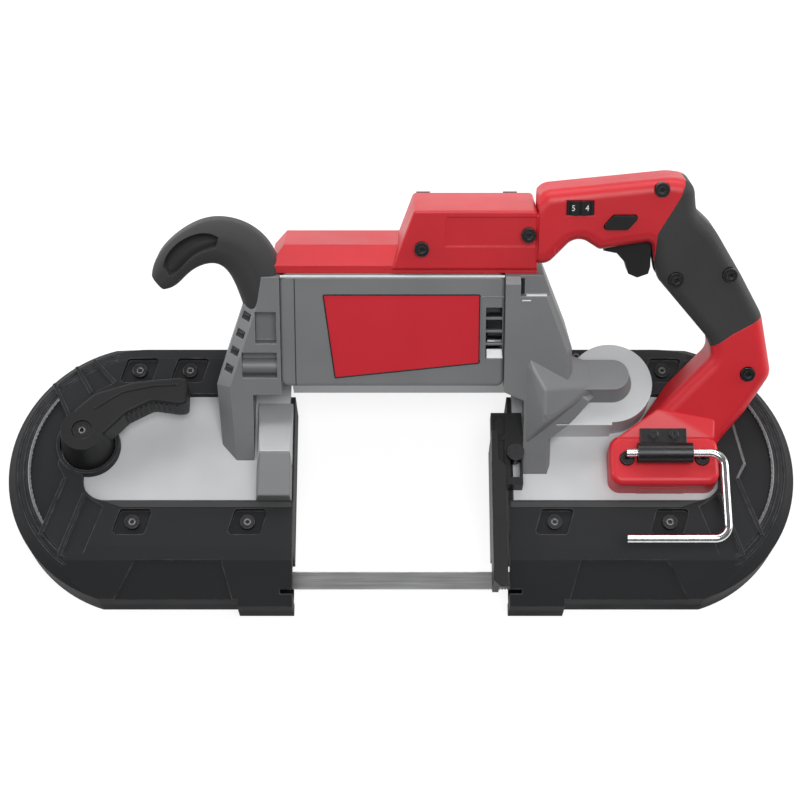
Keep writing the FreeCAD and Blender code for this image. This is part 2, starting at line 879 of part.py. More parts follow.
def ladder_holes():
    """Square holes down the sloped strip at the left of the bracket."""
    ends = [(V(*outer, 0) + V(*inner, 0)) / 2
            for outer, inner in zip(bracket_line(0)[2:4], bracket_line(bracket_face_deep)[2:4])]
    run = ends[1] - ends[0]
    turn = math.degrees(math.atan2(run.y, run.x))
    half = ladder_long / 2
    holes = []
    for i in range(ladder_count):
        hole = block(-half, half, -half, half, bracket_front - ladder_deep, reach)
        hole.rotate(V(0, 0, 0), Z_DIR, turn)
        hole.translate(ends[0] + run * ((i + 0.5) / (ladder_count + 0.5)))
        holes.append(hole)
    return holes


def side_bracket():
    """Casting at the housing's left end, with a sloped strip, two recesses and a half-round bar."""
    rim = sharp(bracket_line(0))
    form = slab(rim, bracket_back, bracket_front)
    ends = [lifted(rim, bracket_front), lifted(sharp(bracket_line(bracket_face_deep)), housing_front)]
    form = form.fuse(Part.makeLoft(ends, True, True)).removeSplitter()
    right = housing_left - housing_edge
    deep = housing_front - bracket_cut_deep
    cuts = ladder_holes()
    cuts.append(block(bracket_cut_left, right, bracket_cut_low, bracket_cut_high, deep, reach))
    cuts.append(block(bracket_cut_left + bracket_cut_deep, right, bracket_panel_low, bracket_panel_high,
                      deep, reach))
    bar = bar_x(bracket_bar_radius, bracket_cut_low + bracket_bar_radius, deep, bracket_cut_left, right)
    return above_deck(tilted(form.cut(cuts).fuse(bar)), plate_front)


def gear_case():
    """Faceted casting round the gears, with room for the countershaft and the motor pinion."""
    points = spread(case_shares, housing_right, case_right, case_foot, housing_high)
    form = slab(sharp(points), case_back, case_front - case_step)
    inset = spread(case_shares, housing_right, case_right - case_step, case_foot, housing_high - case_step)
    cap = Part.makeLoft([lifted(sharp(points), case_front - case_step), lifted(sharp(inset), case_front)],
                        True, True)
    corner = block(case_corner_left, reach, case_corner_low, reach, case_front - case_corner_deep, reach)
    form = above_deck(tilted(form.fuse(cap).cut(corner)), plate_front)
    form = form.fuse(fairing()).fuse(boss())
    for piece in cover_blank(0) + gear_rooms():
        form = form.cut(piece)
    return form


def boss_outline(radius):
    """Round-ended line over the pinion, open towards the leg."""
    top = V(pinion_x, pinion_y + radius, 0)
    low = V(pinion_x, pinion_y - radius, 0)
    corner_low = V(boss_left, pinion_y - radius, 0)
    corner_top = V(boss_left, pinion_y + radius, 0)
    wire = [Part.Arc(low, V(pinion_x + radius, pinion_y, 0), top).toShape(), Part.makeLine(top, corner_top)]
    wire += [Part.makeLine(corner_top, corner_low), Part.makeLine(corner_low, low)]
    return Part.Wire(wire)


def boss():
    """Tapered boss with a flat face over the pinion's upper bearing."""
    ends = [lifted(boss_outline(boss_base_radius), cover_high),
            lifted(boss_outline(boss_radius), boss_high)]
    return Part.makeLoft(ends, True, True)


def fairing():
    """Sloped casting between the leg and the boss."""
    ends = []
    for x, line in ((leg_right - shaft_radius, fairing_line),
                    (boss_left + boss_radius / 2, fairing_end_line)):
        spots = [V(x, y, level) for y, level in line]
        ends.append(Part.makePolygon(spots + [spots[0]]))
    return Part.makeLoft(ends, True, True)


def gear_rooms():
    """Round rooms for the gears, shafts and bearings in the gear case and the cover."""
    end = counter_gear_x + counter_gear_wide + run_gap * 2
    tip = motor_module * (counter_teeth / 2 + 1) + run_gap
    rooms = [bar_x(tip, counter_y, counter_z, counter_gear_x - run_gap * 2, end)]
    rooms.append(bar_x(motor_module * (motor_teeth / 2 + 1) + run_gap, motor_y, motor_z,
                       housing_right - overrun, end))
    rooms.append(bar_x(shaft_bearing_radius + seat_gap, counter_y, counter_z, end,
                       end + shaft_bearing_wide))
    rooms.append(bar_x(bevel_pinion_radius + bevel_module * 2, counter_y, counter_z, end, pinion_x))
    rooms.append(rod(bevel_radius + bevel_module * 2, pinion_x, pinion_y, plate_front, counter_z))
    rooms.append(rod(shaft_bearing_radius + seat_gap, pinion_x, pinion_y, counter_z, boss_high - boss_wall))
    return rooms


def cover_blank(grow):
    """Solid pieces of the round-ended gear cover, grown to cut room for it."""
    disc = rod(cover_radius + grow, pinion_x, pinion_y, plate_front, cover_high + grow)
    tail = block(cover_left - grow, pinion_x, cover_low - grow, pinion_y, plate_front, cover_high + grow)
    return [disc, tail]


def gear_cover():
    disc, tail = cover_blank(0)
    form = disc.fuse(tail).removeSplitter()
    for room in gear_rooms():
        form = form.cut(room)
    return form


def tooth_wheel(teeth, module, bore, width, first_deg):
    """Spur gear about the z axis with stub teeth; one tooth points at the first angle."""
    pitch = module * teeth / 2
    step = 360.0 / teeth
    points = []
    for i in range(teeth):
        for share, radius in ((-root_thick_share, pitch - module * root_share),
                              (-pitch_thick_share, pitch),
                              (-tip_thick_share, pitch + module * tip_share),
                              (tip_thick_share, pitch + module * tip_share),
                              (pitch_thick_share, pitch),
                              (root_thick_share, pitch - module * root_share)):
            angle = math.radians(first_deg + step * (i + share / 2))
            points.append((radius * math.cos(angle), radius * math.sin(angle)))
    gear = slab(sharp(points), 0, width)
    if bore:
        gear = gear.cut(rod(bore, 0, 0, -overrun, width + overrun))
    return gear


def bevel_wheel(teeth, mate_teeth, first_deg):
    """Bevel gear about the z axis with its apex at the origin, opening upward."""
    pitch = bevel_module * teeth / 2
    mate = bevel_module * mate_teeth / 2
    slant = math.hypot(pitch, mate)
    out = V(pitch / slant, 0, mate / slant)
    up = V(mate / slant, 0, -pitch / slant)
    near_share = 1 - bevel_face_share
    root_far = out * slant - up * (bevel_module * root_share)
    root_near = root_far * near_share
    body = Part.makeCone(root_near.x, root_far.x, root_far.z - root_near.z, V(0, 0, root_near.z), Z_DIR)
    body = body.fuse(rod(root_far.x, 0, 0, root_far.z, root_far.z + bevel_module * 2))
    half = math.pi * bevel_module / 2
    teeth_shapes = []
    for i in range(teeth):
        ends = []
        for scale in (1, near_share):
            corners = []
            for rise, thick in ((-bevel_sink_share, bevel_root_thick_share),
                                (bevel_tip_share, bevel_tip_thick_share)):
                base = out * slant + up * (bevel_module * rise)
                corners.append((base, half * thick))
            low, high = corners
            wire = [V(low[0].x, -low[1], low[0].z), V(high[0].x, -high[1], high[0].z)]
            wire += [V(high[0].x, high[1], high[0].z), V(low[0].x, low[1], low[0].z)]
            wire = [p * scale for p in wire]
            ends.append(Part.makePolygon(wire + [wire[0]]))
        tooth = Part.makeLoft(ends, True, True)
        tooth.rotate(V(0, 0, 0), Z_DIR, first_deg + 360.0 * i / teeth)
        teeth_shapes.append(tooth)
    for tooth in teeth_shapes:
        body = body.fuse(tooth)
    return body


def output_gear():
    gear = tooth_wheel(output_teeth, output_module, axle_radius + seat_gap, gear_width, pair_turn_deg)
    gear.translate(V(wheel_x, 0, gear_back))
    return gear


def pinion_shaft():
    turn = pair_turn_deg + 180 + 180.0 / pinion_teeth
    gear = tooth_wheel(pinion_teeth, output_module, 0, gear_width, turn)
    gear.translate(V(pinion_x, pinion_y, gear_back))
    shaft = rod(shaft_radius, pinion_x, pinion_y, wheel_front + run_gap * 4, boss_high - boss_wall)
    return gear.fuse(shaft).removeSplitter()


def bevel_gear():
    gear = bevel_wheel(bevel_teeth, bevel_pinion_teeth, 180)
    gear.rotate(V(0, 0, 0), X_DIR, 180)
    gear = gear.cut(rod(shaft_radius + seat_gap, 0, 0, -reach, reach))
    gear.translate(V(pinion_x, pinion_y, counter_z))
    return gear


def countershaft():
    """Shaft along x with the gear driven by the motor and the bevel pinion at its right end."""
    gear = tooth_wheel(counter_teeth, motor_module, 0, counter_gear_wide, counter_phase_deg())
    gear.rotate(V(0, 0, 0), V(0, 1, 0), 90)
    gear.translate(V(counter_gear_x, counter_y, counter_z))
    pinion = bevel_wheel(bevel_pinion_teeth, bevel_teeth, 180.0 / bevel_pinion_teeth)
    pinion.rotate(V(0, 0, 0), V(0, 1, 0), -90)
    pinion.translate(V(pinion_x, counter_y, counter_z))
    shaft = bar_x(shaft_radius, counter_y, counter_z, counter_gear_x, pinion_x - bevel_radius)
    return gear.fuse([pinion, shaft]).removeSplitter()


def counter_phase_deg():
    """Angle, in the gear's own flat drawing, of the line from the countershaft to the motor shaft."""
    return math.degrees(math.atan2(motor_y - counter_y, -(motor_z - counter_z)))


def rotor():
    turn = counter_phase_deg() + 180 + 180.0 / motor_teeth
    gear = tooth_wheel(motor_teeth, motor_module, 0, motor_shaft_right - counter_gear_x, turn)
    gear.rotate(V(0, 0, 0), V(0, 1, 0), 90)
    gear.translate(V(counter_gear_x, motor_y, motor_z))
    shaft = bar_x(motor_shaft_radius, motor_y, motor_z, motor_bearing_left - shaft_bearing_wide,
                  counter_gear_x)
    core = bar_x(rotor_radius, motor_y, motor_z, stator_left, stator_right)
    return gear.fuse([shaft, core]).removeSplitter()


def cooling_fan():
    disc = bar_x(fan_radius, 0, 0, fan_left, fan_left + fan_disc)
    hub = bar_x(motor_shaft_radius * 2, 0, 0, fan_left, fan_right)
    blades = []
    for i in range(fan_blades):
        blade = block(fan_left, fan_right, motor_shaft_radius * 2 - fan_disc, fan_radius - fan_disc,
                      -fan_blade_thick / 2, fan_blade_thick / 2)
        blade.rotate(V(0, 0, 0), X_DIR, 360.0 * i / fan_blades)
        blades.append(blade)
    form = disc.fuse([hub] + blades).removeSplitter()
    form = form.cut(bar_x(motor_shaft_radius + seat_gap, 0, 0, fan_left - overrun, fan_right + overrun))
    form.translate(V(0, motor_y, motor_z))
    return form


def stator():
    core = bar_x(stator_radius, motor_y, motor_z, stator_left, stator_right)
    coils = bar_x(coil_radius, motor_y, motor_z, stator_left - coil_overhang, stator_right + coil_overhang)
    bore = bar_x(stator_bore, motor_y, motor_z, stator_left - reach, stator_right + reach)
    return core.fuse(coils).cut(bore)


def bearing_x(bore, y, z, left):
    race = bar_x(shaft_bearing_radius, y, z, left, left + shaft_bearing_wide)
    return race.cut(bar_x(bore + shaft_gap, y, z, left - overrun, left + shaft_bearing_wide + overrun))


def shaft_bearings():
    front = plate_front + boss_rise - boss_wall
    rings = [ring(bearing_radius, axle_radius + shaft_gap, wheel_x, 0, front - bearing_width, front)]
    rings.append(ring(bearing_radius, axle_radius + shaft_gap, wheel_x, 0, wheel_front + run_gap * 2,
                      gear_bay_back))
    rings.append(bearing_x(motor_shaft_radius, motor_y, motor_z, motor_bearing_left - shaft_bearing_wide))
    end = counter_gear_x + counter_gear_wide + run_gap * 2
    rings.append(bearing_x(shaft_radius, counter_y, counter_z, end))
    top = boss_high - boss_wall
    rings.append(ring(shaft_bearing_radius, shaft_radius + shaft_gap, pinion_x, pinion_y,
                      top - shaft_bearing_wide, top))
    return group(rings)


def wheel_body():
    """Spoked wheel rim about the z axis at the origin."""
    form = ring(wheel_radius - tyre_thick, wheel_radius - tyre_thick - rim_thick, 0, 0, wheel_back,
                wheel_front)
    web = rod(wheel_radius - tyre_thick - rim_thick, 0, 0, wheel_back, wheel_back + web_thick)
    hub = rod(hub_radius, 0, 0, wheel_back, wheel_front)
    form = form.fuse([web, hub]).removeSplitter()
    holes = []
    for i in range(spoke_holes):
        angle = 2 * math.pi * i / spoke_holes
        holes.append(rod(spoke_hole_radius, spoke_ring_radius * math.cos(angle),
                         spoke_ring_radius * math.sin(angle),
                         wheel_back - overrun, wheel_front))
    return form.cut(holes)


def tyre():
    return ring(wheel_radius, wheel_radius - tyre_thick, 0, 0, wheel_back, wheel_front)


def drive_wheel():
    form = wheel_body().cut(rod(axle_radius + seat_gap, 0, 0, -overrun, reach))
    form.translate(V(wheel_x, 0, 0))
    return form


def drive_tyre():
    form = tyre()
    form.translate(V(wheel_x, 0, 0))
    return form


def drive_axle():
    low = wheel_back - nut_height
    front = plate_front + boss_rise - boss_wall
    return rod(axle_radius, wheel_x, 0, low, front)


def drive_nut():
    points = []
    for i in range(6):
        angle = math.radians(60 * i)
        points.append((wheel_x + nut_radius * math.cos(angle), nut_radius * math.sin(angle)))
    form = slab(sharp(points), wheel_back - nut_height, wheel_back)
    return form.cut(rod(axle_radius + seat_gap, wheel_x, 0, -overrun, wheel_back + overrun))


def idler_wheel():
    form = wheel_body().cut(rod(bearing_radius + seat_gap, 0, 0, -overrun, reach))
    form.translate(V(-wheel_x, 0, 0))
    return form


def idler_tyre():
    return mirrored(drive_tyre())


def idler_bearings():
    low = ring(bearing_radius, axle_radius + shaft_gap, -wheel_x, 0, wheel_back, wheel_back + bearing_width)
    high = ring(bearing_radius, axle_radius + shaft_gap, -wheel_x, 0, wheel_front - bearing_width,
                wheel_front)
    return group([low, high])


def carriage_back():
    return plate_back - run_gap - carriage_thick


def idler_axle():
    """Shoulder bolt that carries the idler wheel on the carriage."""
    low = wheel_back - run_gap
    shank = rod(axle_radius, -wheel_x, 0, low, plate_back - run_gap)
    head = rod(axle_head_radius, -wheel_x, 0, low - axle_head, low)
    return shank.fuse(head).removeSplitter()


def tension_carriage():
    form = block(carriage_left, carriage_right, carriage_low, carriage_high, carriage_back(),
                 plate_back - run_gap)
    window = block(cam_middle_x() - cam_window_half, cam_middle_x() + cam_window_half,
                   lever_y - cam_window_tall / 2,
                   lever_y + cam_window_tall / 2, -overrun, plate_back + overrun)
    hole = rod(axle_radius + seat_gap, -wheel_x, 0, -overrun, plate_back + overrun)
    return form.cut([window, hole])


def cam_middle_x():
    return lever_x - cam_offset


def tension_cam():
    shaft = rod(cam_shaft_radius, lever_x, lever_y, plate_back - run_gap, lever_base + run_gap)
    cam = rod(cam_radius, lever_x - cam_offset, lever_y, plate_back - run_gap - cam_thick,
              plate_back - run_gap)
    return shaft.fuse(cam).removeSplitter()


def tension_rails():
    """Two lipped rails under the plate that guide the carriage."""
    rails = []
    lip_low = carriage_back() - run_gap - slide_rail_deep
    left = carriage_left - overrun
    right = carriage_right + slide_travel + overrun
    for edge, out in ((carriage_high + run_gap, 1), (carriage_low - run_gap, -1)):
        far = edge + out * slide_rail_high
        lip = edge - out * slide_rail_lip
        wall = block(left, right, min(edge, far), max(edge, far), lip_low, plate_back)
        tongue = block(left, right, min(edge, lip), max(edge, lip), lip_low, lip_low + slide_rail_deep)
        rails.append(wall.fuse(tongue).removeSplitter())
    return group(rails)


def lever_line():
    points = spread(lever_shares, lever_x, lever_x + lever_reach, lever_y, lever_y + lever_rise)
    return outline(points, [share * lever_rise for share in lever_corner_shares])


def tension_lever():
    base = lever_base + run_gap
    cone = Part.makeCone(lever_base_radius, lever_hub_radius, lever_top - base, V(lever_x, lever_y, base),
                         Z_DIR)
    arm = slab(lever_line(), lever_under, lever_top)
    arm = rounded_rim(arm, lever_top, lever_edge)
    form = cone.fuse(arm).removeSplitter()
    hole = rod(lever_hole_radius, lever_x, lever_y, lever_top - lever_hole_deep, lever_top + overrun)
    return form.cut(hole)


def lever_screw():
    seat = lever_top - lever_hole_deep
    head = rod(lever_hole_radius - run_gap, lever_x, lever_y, seat, seat + lever_hole_deep - run_gap * 2)
    return head.cut(rod(socket_radius, lever_x, lever_y, seat + socket_deep / 2, lever_top + overrun))


def tension_spring():
    """Coil between the carriage and the plate's stop."""
    pitch = spring_free / spring_turns
    helix = Part.makeHelix(pitch, spring_free, spring_radius)
    section = Part.Wire(Part.makeCircle(spring_wire, V(spring_radius, 0, 0), V(0, 1, 0)))
    coil = Part.Wire(helix).makePipeShell([section], True, True)
    coil.rotate(V(0, 0, 0), V(0, 1, 0), 90)
    coil.translate(V(carriage_right + spring_wire + run_gap, spring_y, spring_level()))
    return coil


def spring_level():
    return plate_back - run_gap - spring_radius - spring_wire


def spring_stop():
    """Lug under the plate that the tension spring pushes against."""
    left = carriage_right + spring_free + (spring_wire + run_gap) * 2
    return block(left, left + spring_stop_thick, spring_y - spring_stop_half, spring_y + spring_stop_half,
                 spring_level() - spring_radius, plate_back)


def band_frame(angle, twist):
    """Width and thickness directions of the band where it runs at an angle and is twisted."""
    along = V(math.cos(angle), math.sin(angle), 0)
    across = V(-math.sin(angle), math.cos(angle), 0)
    turn = math.radians(twist)
    wide = V(0, 0, -1) * math.cos(turn) - across * math.sin(turn)
    return along, wide, along.cross(wide)


def band_section(place, angle, twist):
    along, wide, thick = band_frame(angle, twist)
    wide = wide * (blade_width / 2)
    thick = thick * (blade_thick / 2)
    corners = [place + wide + thick, place + wide - thick, place - wide - thick, place - wide + thick]
    return Part.makePolygon(corners + [corners[0]])


def band_lead(side, guide_x):
    """Twisted stretch of the band from a wheel to its guide, and the angle where it leaves the wheel."""
    dx = guide_x - side * wheel_x
    dy = blade_y
    far = math.hypot(dx, dy)
    to_guide = math.atan2(dy, dx)
    open_angle = math.acos(band_radius / far)
    touch = to_guide + side * open_angle
    place = V(side * wheel_x + band_radius * math.cos(touch), band_radius * math.sin(touch), wheel_mid)
    goal = V(guide_x, blade_y, blade_z)
    slope = math.atan2(goal.y - place.y, goal.x - place.x)
    if side > 0:
        slope -= math.pi
    if slope < -math.pi:
        slope += 2 * math.pi
    wires = []
    for i in range(twist_steps + 1):
        share = i / twist_steps
        spot = place + (goal - place) * share
        eased = share * share * (3 - 2 * share)
        wires.append(band_section(spot, slope * (1 - share), twist_deg * eased))
    return Part.makeLoft(wires, True, True), touch


def band_arc(side, touch):
    """Stretch of the band round a wheel, from the lower leaving point to the top."""
    inner = band_radius - blade_thick / 2
    outer = band_radius + blade_thick / 2
    middle = 0 if side > 0 else math.pi
    wires = []
    for radius in (inner, outer):
        spots = []
        for angle in (touch, middle, math.pi / 2):
            spots.append(V(side * wheel_x + radius * math.cos(angle), radius * math.sin(angle), 0))
        wires.append(Part.Arc(*spots).toShape())
    ends = [edge.Vertexes[0].Point for edge in wires] + [edge.Vertexes[-1].Point for edge in wires]
    wires.insert(1, Part.makeLine(ends[2], ends[3]))
    wires.append(Part.makeLine(ends[1], ends[0]))
    face = Part.Wire(Part.__sortEdges__(wires))
    low = wheel_mid - blade_width / 2
    return slab(face, low, low + blade_width)


def band_cut():
    """Toothed straight stretch of the band between the guides."""
    long = guide_right_x - guide_left_x
    count = int(long / tooth_pitch)
    pitch = long / count
    points = [(guide_left_x, blade_width / 2), (guide_left_x, -blade_width / 2)]
    for i in range(count):
        x = guide_left_x + i * pitch
        points.append((x + pitch * tooth_gullet_share, -blade_width / 2 + tooth_depth))
        points.append((x + pitch, -blade_width / 2))
    points.append((guide_right_x, blade_width / 2))
    strip = slab(sharp(points), -blade_thick / 2, blade_thick / 2)
    strip = tilted(strip)
    strip.translate(V(0, blade_y, blade_z))
    return strip


def blade():
    left, left_touch = band_lead(-1, guide_left_x)
    right, right_touch = band_lead(1, guide_right_x)
    low = wheel_mid - blade_width / 2
    back = block(-wheel_x, wheel_x, band_radius - blade_thick / 2, band_radius + blade_thick / 2, low,
                 low + blade_width)
    arcs = [band_arc(-1, left_touch), band_arc(1, right_touch)]
    return back.fuse([left, right, band_cut()] + arcs).removeSplitter()


def at_blade(shape, x):
    """Moves a piece drawn about the band's middle, with y up its width, to the guide at x."""
    moved = tilted(shape)
    moved.translate(V(x, blade_y, blade_z))
    return moved


def roller_offset():
    return roller_radius + blade_thick / 2 + roller_gap


def side_roller(x, face):
    form = Part.makeCylinder(roller_radius, roller_long, V(0, -roller_long / 2, face * roller_offset()),
                             V(0, 1, 0))
    bore = Part.makeCylinder(roller_pin_radius + shaft_gap, reach,
                             V(0, -reach / 2, face * roller_offset()), V(0, 1, 0))
    return at_blade(form.cut(bore), x)


def backup_roller(x):
    height = blade_width / 2 + roller_gap + backup_radius
    form = rod(backup_radius, 0, height, -backup_long / 2, backup_long / 2)
    bore = rod(roller_pin_radius - shaft_radius / 4 + shaft_gap, 0, height, -reach, reach)
    return at_blade(form.cut(bore), x)


def guide_head(x):
    """Block behind the band with the pins of its rollers, cut flush with the plate's back."""
    form = block(-guide_block_half, guide_block_half, guide_block_near, guide_block_far,
                 -guide_block_half_deep,
                 guide_block_half_deep)
    height = blade_width / 2 + roller_gap + backup_radius
    cheek = backup_long / 2 + run_gap * 2 + roller_pin_radius
    fork = block(-guide_block_half, guide_block_half, height - roller_pin_radius, guide_block_near, -cheek,
                 cheek)
    side = backup_long / 2 + run_gap
    room = block(-reach, reach, -reach, height + backup_radius + run_gap, -side, side)
    pins = [rod(roller_pin_radius - shaft_radius / 4, 0, height, -backup_long, backup_long)]
    for face in (-1, 1):
        pins.append(Part.makeCylinder(roller_pin_radius, guide_block_near + roller_long / 2,
                                      V(0, -roller_long / 2, face * roller_offset()), V(0, 1, 0)))
    form = form.fuse(fork).cut(room).fuse(pins)
    form = at_blade(form, x)
    return form.cut(block(-reach, reach, -reach, reach, plate_back, reach)).removeSplitter()


def guide_post():
    """Sloped post on the front of the plate beside the throat, right side."""
    points = [(post_low, plate_front), (post_low, post_front), (post_mid, post_front),
              (post_high, plate_front)]
    face = Part.makePolygon([V(0, a, b) for a, b in points] + [V(0, post_low, plate_front)])
    form = Part.Face(face).extrude(V(post_far_x - post_near_x, 0, 0))
    form.translate(V(post_near_x, 0, 0))
    return form


def left_guide_block():
    return guide_head(guide_left_x)


def right_guide_block():
    return guide_head(guide_right_x)


def work_shoe():
    """Plate that the work rests against, with a slotted arm on the frame's edge."""
    strip = block(shoe_left, shoe_left + shoe_thick, shoe_low, shoe_high, shoe_back, shoe_front)
    arm = block(shoe_left, shoe_arm_right, shoe_slot_low - overrun, shoe_arm_high, plate_front + run_gap,
                plate_front + run_gap + shoe_arm_thick)
    form = strip.fuse(arm).removeSplitter()
    middle = shoe_clamp_x()
    slot = block(middle - shoe_slot_half, middle + shoe_slot_half, shoe_slot_low,
                 shoe_slot_low + slot_long(),
                 plate_front - overrun, reach)
    bite = block(shoe_left - overrun, shoe_left + shoe_thick + overrun, shoe_low - overrun,
                 shoe_low + bite_high,
                 -reach, blade_z + bite_deep)
    return form.cut([slot, bite])


def shoe_clamp_x():
    return (shoe_left + shoe_thick + shoe_arm_right) / 2 + shoe_slot_half


def slot_long():
    return shoe_travel + clamp_radius * 2 + run_gap * 2


def shoe_clamp():
    y = shoe_slot_low + slot_long() - clamp_radius - run_gap
    top = plate_front + run_gap * 2 + shoe_arm_thick
    shank = rod(clamp_radius, shoe_clamp_x(), y, plate_front, top)
    head = rod(clamp_head, shoe_clamp_x(), y, top, top + clamp_head_high)
    return shank.fuse(head).removeSplitter()


def cover_roof():
    """Long red cover with a hipped front and left edge."""
    form = block(cover_x_left, cover_x_right, housing_high, cover_u_high, cover_back, cover_front)
    line = [(cover_u_high, cover_front - cover_hip * 2), (cover_u_high + overrun, cover_front)]
    line += [(cover_u_high - cover_hip, cover_front + overrun), (cover_u_high - cover_hip, cover_front)]
    line.append(line[0])
    wedge = Part.Face(Part.makePolygon([V(0, u, w) for u, w in line])).extrude(V(reach * 2, 0, 0))
    wedge.translate(V(-reach, 0, 0))
    side = [(cover_x_left - overrun, cover_u_high - cover_hip), (cover_x_left, cover_u_high - cover_hip)]
    side += [(cover_x_left + cover_hip_side, cover_u_high),
             (cover_x_left + cover_hip_side, cover_u_high + overrun)]
    side += [(cover_x_left - overrun, cover_u_high + overrun)]
    corner = [(cover_x_left - overrun, housing_high - overrun),
              (cover_x_left + cover_hip_side, housing_high - overrun)]
    corner += [(cover_x_left, cover_u_high - cover_hip), (cover_x_left - overrun, cover_u_high - cover_hip)]
    return form.cut([wedge, slab(sharp(side), -reach, reach), slab(sharp(corner), -reach, reach)])


def cover_box():
    points = [(box_left - box_lean, housing_high + box_edge), (cover_x_right, housing_high + box_edge)]
    points += [(cover_x_right, box_high), (box_left + box_lean, box_high)]
    form = slab(outline(points, [0, 0, box_edge, box_edge]), box_back, cover_front + box_edge)
    return rounded_rim(form, cover_front + box_edge, box_edge / 2)


def top_cover():
    form = cover_roof().fuse(cover_box()).removeSplitter()
    cuts = [screw_hole(x, u, w, screw_shank_long) for x, u, w in cover_screw_places()]
    front = cover_front + box_edge
    cuts.append(block(box_panel_left, cover_x_right + overrun, cover_u_high + box_panel_inset,
                      box_high - box_panel_inset,
                      front - box_panel_deep, front + overrun))
    return tilted(form.cut(cuts))


def cover_screw_places():
    return [(box_left + screw_inset, cover_u_high + box_edge, cover_front + box_edge),
            (cover_x_right - screw_inset / 2, cover_u_high + screw_inset, cover_front + box_edge)]


def handle_outline():
    points = spread(handle_shares, handle_left, handle_right, handle_low, handle_top)
    height = handle_top - handle_low
    return outline(points, [share * height for share in handle_corner_shares])


def handle_body():
    """Whole handle in the cutting plane before it is parted."""
    form = slab(handle_outline(), handle_back_w, handle_front_w)
    form = rounded_rim(form, handle_front_w, handle_round)
    form = rounded_rim(form, handle_back_w, handle_round)
    return form.cut(block(-reach, handle_left + run_gap, -reach, reach, -reach, reach))


def grip_region():
    points = spread(grip_shares, handle_left, handle_right, handle_low, handle_top)
    return slab(sharp(points), handle_back_w - overrun, handle_front_w + overrun)


def handle_room():
    """Room in the handle for the switch, the dial, the button and the trigger."""
    cuts = [rod_u(dial_radius + run_gap, dial_x, dial_w, dial_u - dial_high / 2 - run_gap,
                  dial_u + dial_high / 2 + run_gap)]
    cuts.append(slab(button_line(run_gap), handle_back_w - overrun, handle_front_w + overrun))
    side = trigger_half + run_gap
    cuts.append(block(trigger_left - run_gap, trigger_right + trigger_travel + run_gap,
                      trigger_low - overrun,
                      trigger_high + run_gap, handle_split_w - side, handle_split_w + side))
    side = switch_half + seat_gap
    cuts.append(block(switch_left - seat_gap, switch_right + seat_gap, switch_low - seat_gap,
                      switch_high + seat_gap,
                      handle_split_w - side, handle_split_w + side))
    return cuts


def rod_u(radius, x, w, low, high):
    return Part.makeCylinder(radius, high - low, V(x, low, w), V(0, 1, 0))


def handle_half(low, high):
    half = block(-reach, reach, -reach, reach, low, high)
    form = handle_body().common(half).cut(grip_region())
    cuts = handle_room() + handle_screw_holes()
    return form.cut(cuts)


def foot_pad():
    """Pad of the handle on the deck."""
    points = [(foot_left, foot_low), (foot_right, foot_low), (foot_right, foot_high),
              (foot_left, foot_high)]
    form = slab(outline(points, [foot_corner] * len(points)), plate_front, plate_front + foot_rise)
    form = rounded_rim(form, plate_front + foot_rise, foot_edge)
    cuts = [rod(bearing_radius + boss_wall + run_gap, wheel_x, 0, 0, plate_front + boss_rise + run_gap)]
    cuts += [foot_screw_hole(x) for x in foot_screw_places()]
    return form, cuts


def handle_floor():
    """Lowest level of the handle's arm over the guard."""
    return guard_front + ridge_rise + run_gap


def handle_front():
    form = above_deck(tilted(handle_half(handle_split_w, reach)), handle_floor())
    pad, cuts = foot_pad()
    rear_arm = tilted(handle_body().common(block(-reach, reach, -reach, reach, -reach, handle_split_w)))
    form = form.fuse(pad.cut(rear_arm)).removeSplitter()
    return form.cut(cuts + cover_blank(run_gap))


def handle_rear():
    form = above_deck(tilted(handle_half(-reach, handle_split_w)), handle_floor())
    cuts = foot_pad()[1]
    return form.cut(cuts + cover_blank(run_gap))


def rear_grip():
    form = handle_body().common(grip_region())
    cuts = handle_room() + handle_screw_holes()
    return tilted(form.cut(cuts))


def handle_screw_places():
    return spread(handle_screw_shares, handle_left, handle_right, handle_low, handle_top)


def handle_screw_holes():
    seat = handle_front_w - socket_deep
    return [screw_hole(x, u, seat, screw_shank_long) for x, u in handle_screw_places()]


def handle_screws():
    seat = handle_front_w - socket_deep
    screws = [tilted(socket_screw(x, u, seat, screw_shank_long)) for x, u in handle_screw_places()]
    screws += [tilted(socket_screw(x, u, w, screw_shank_long)) for x, u, w in cover_screw_places()]
    seat = plate_front + foot_rise - socket_deep
    screws += [socket_screw(x, foot_screw_y, seat, foot_screw_long) for x in foot_screw_places()]
    return group(screws)


def trigger():
    points = spread(trigger_shares, trigger_left, trigger_right, trigger_low, trigger_high)
    return tilted(slab(sharp(points), handle_split_w - trigger_half, handle_split_w + trigger_half))


def button_line(grow):
    left = button_x - button_long / 2 - grow
    right = button_x + button_long / 2 + grow
    low = button_u - button_tall / 2 - grow
    high = button_u + button_tall / 2 + grow
    points = [(left - button_lean, low), (right - button_lean, low), (right + button_lean, high),
              (left + button_lean, high)]
    return outline(points, [button_corner] * len(points))


def lock_button():
    return tilted(slab(button_line(0), handle_back_w - button_proud, handle_front_w + button_proud))


def speed_dial():
    form = rod_u(dial_radius, dial_x, dial_w, dial_u - dial_high / 2, dial_u + dial_high / 2)
    cuts = []
    for i in range(dial_notches):
        angle = 2 * math.pi * i / dial_notches
        cuts.append(rod_u(dial_notch_radius, dial_x + dial_radius * math.cos(angle),
                          dial_w + dial_radius * math.sin(angle),
                          dial_u - dial_high, dial_u + dial_high))
    return tilted(form.cut(cuts))


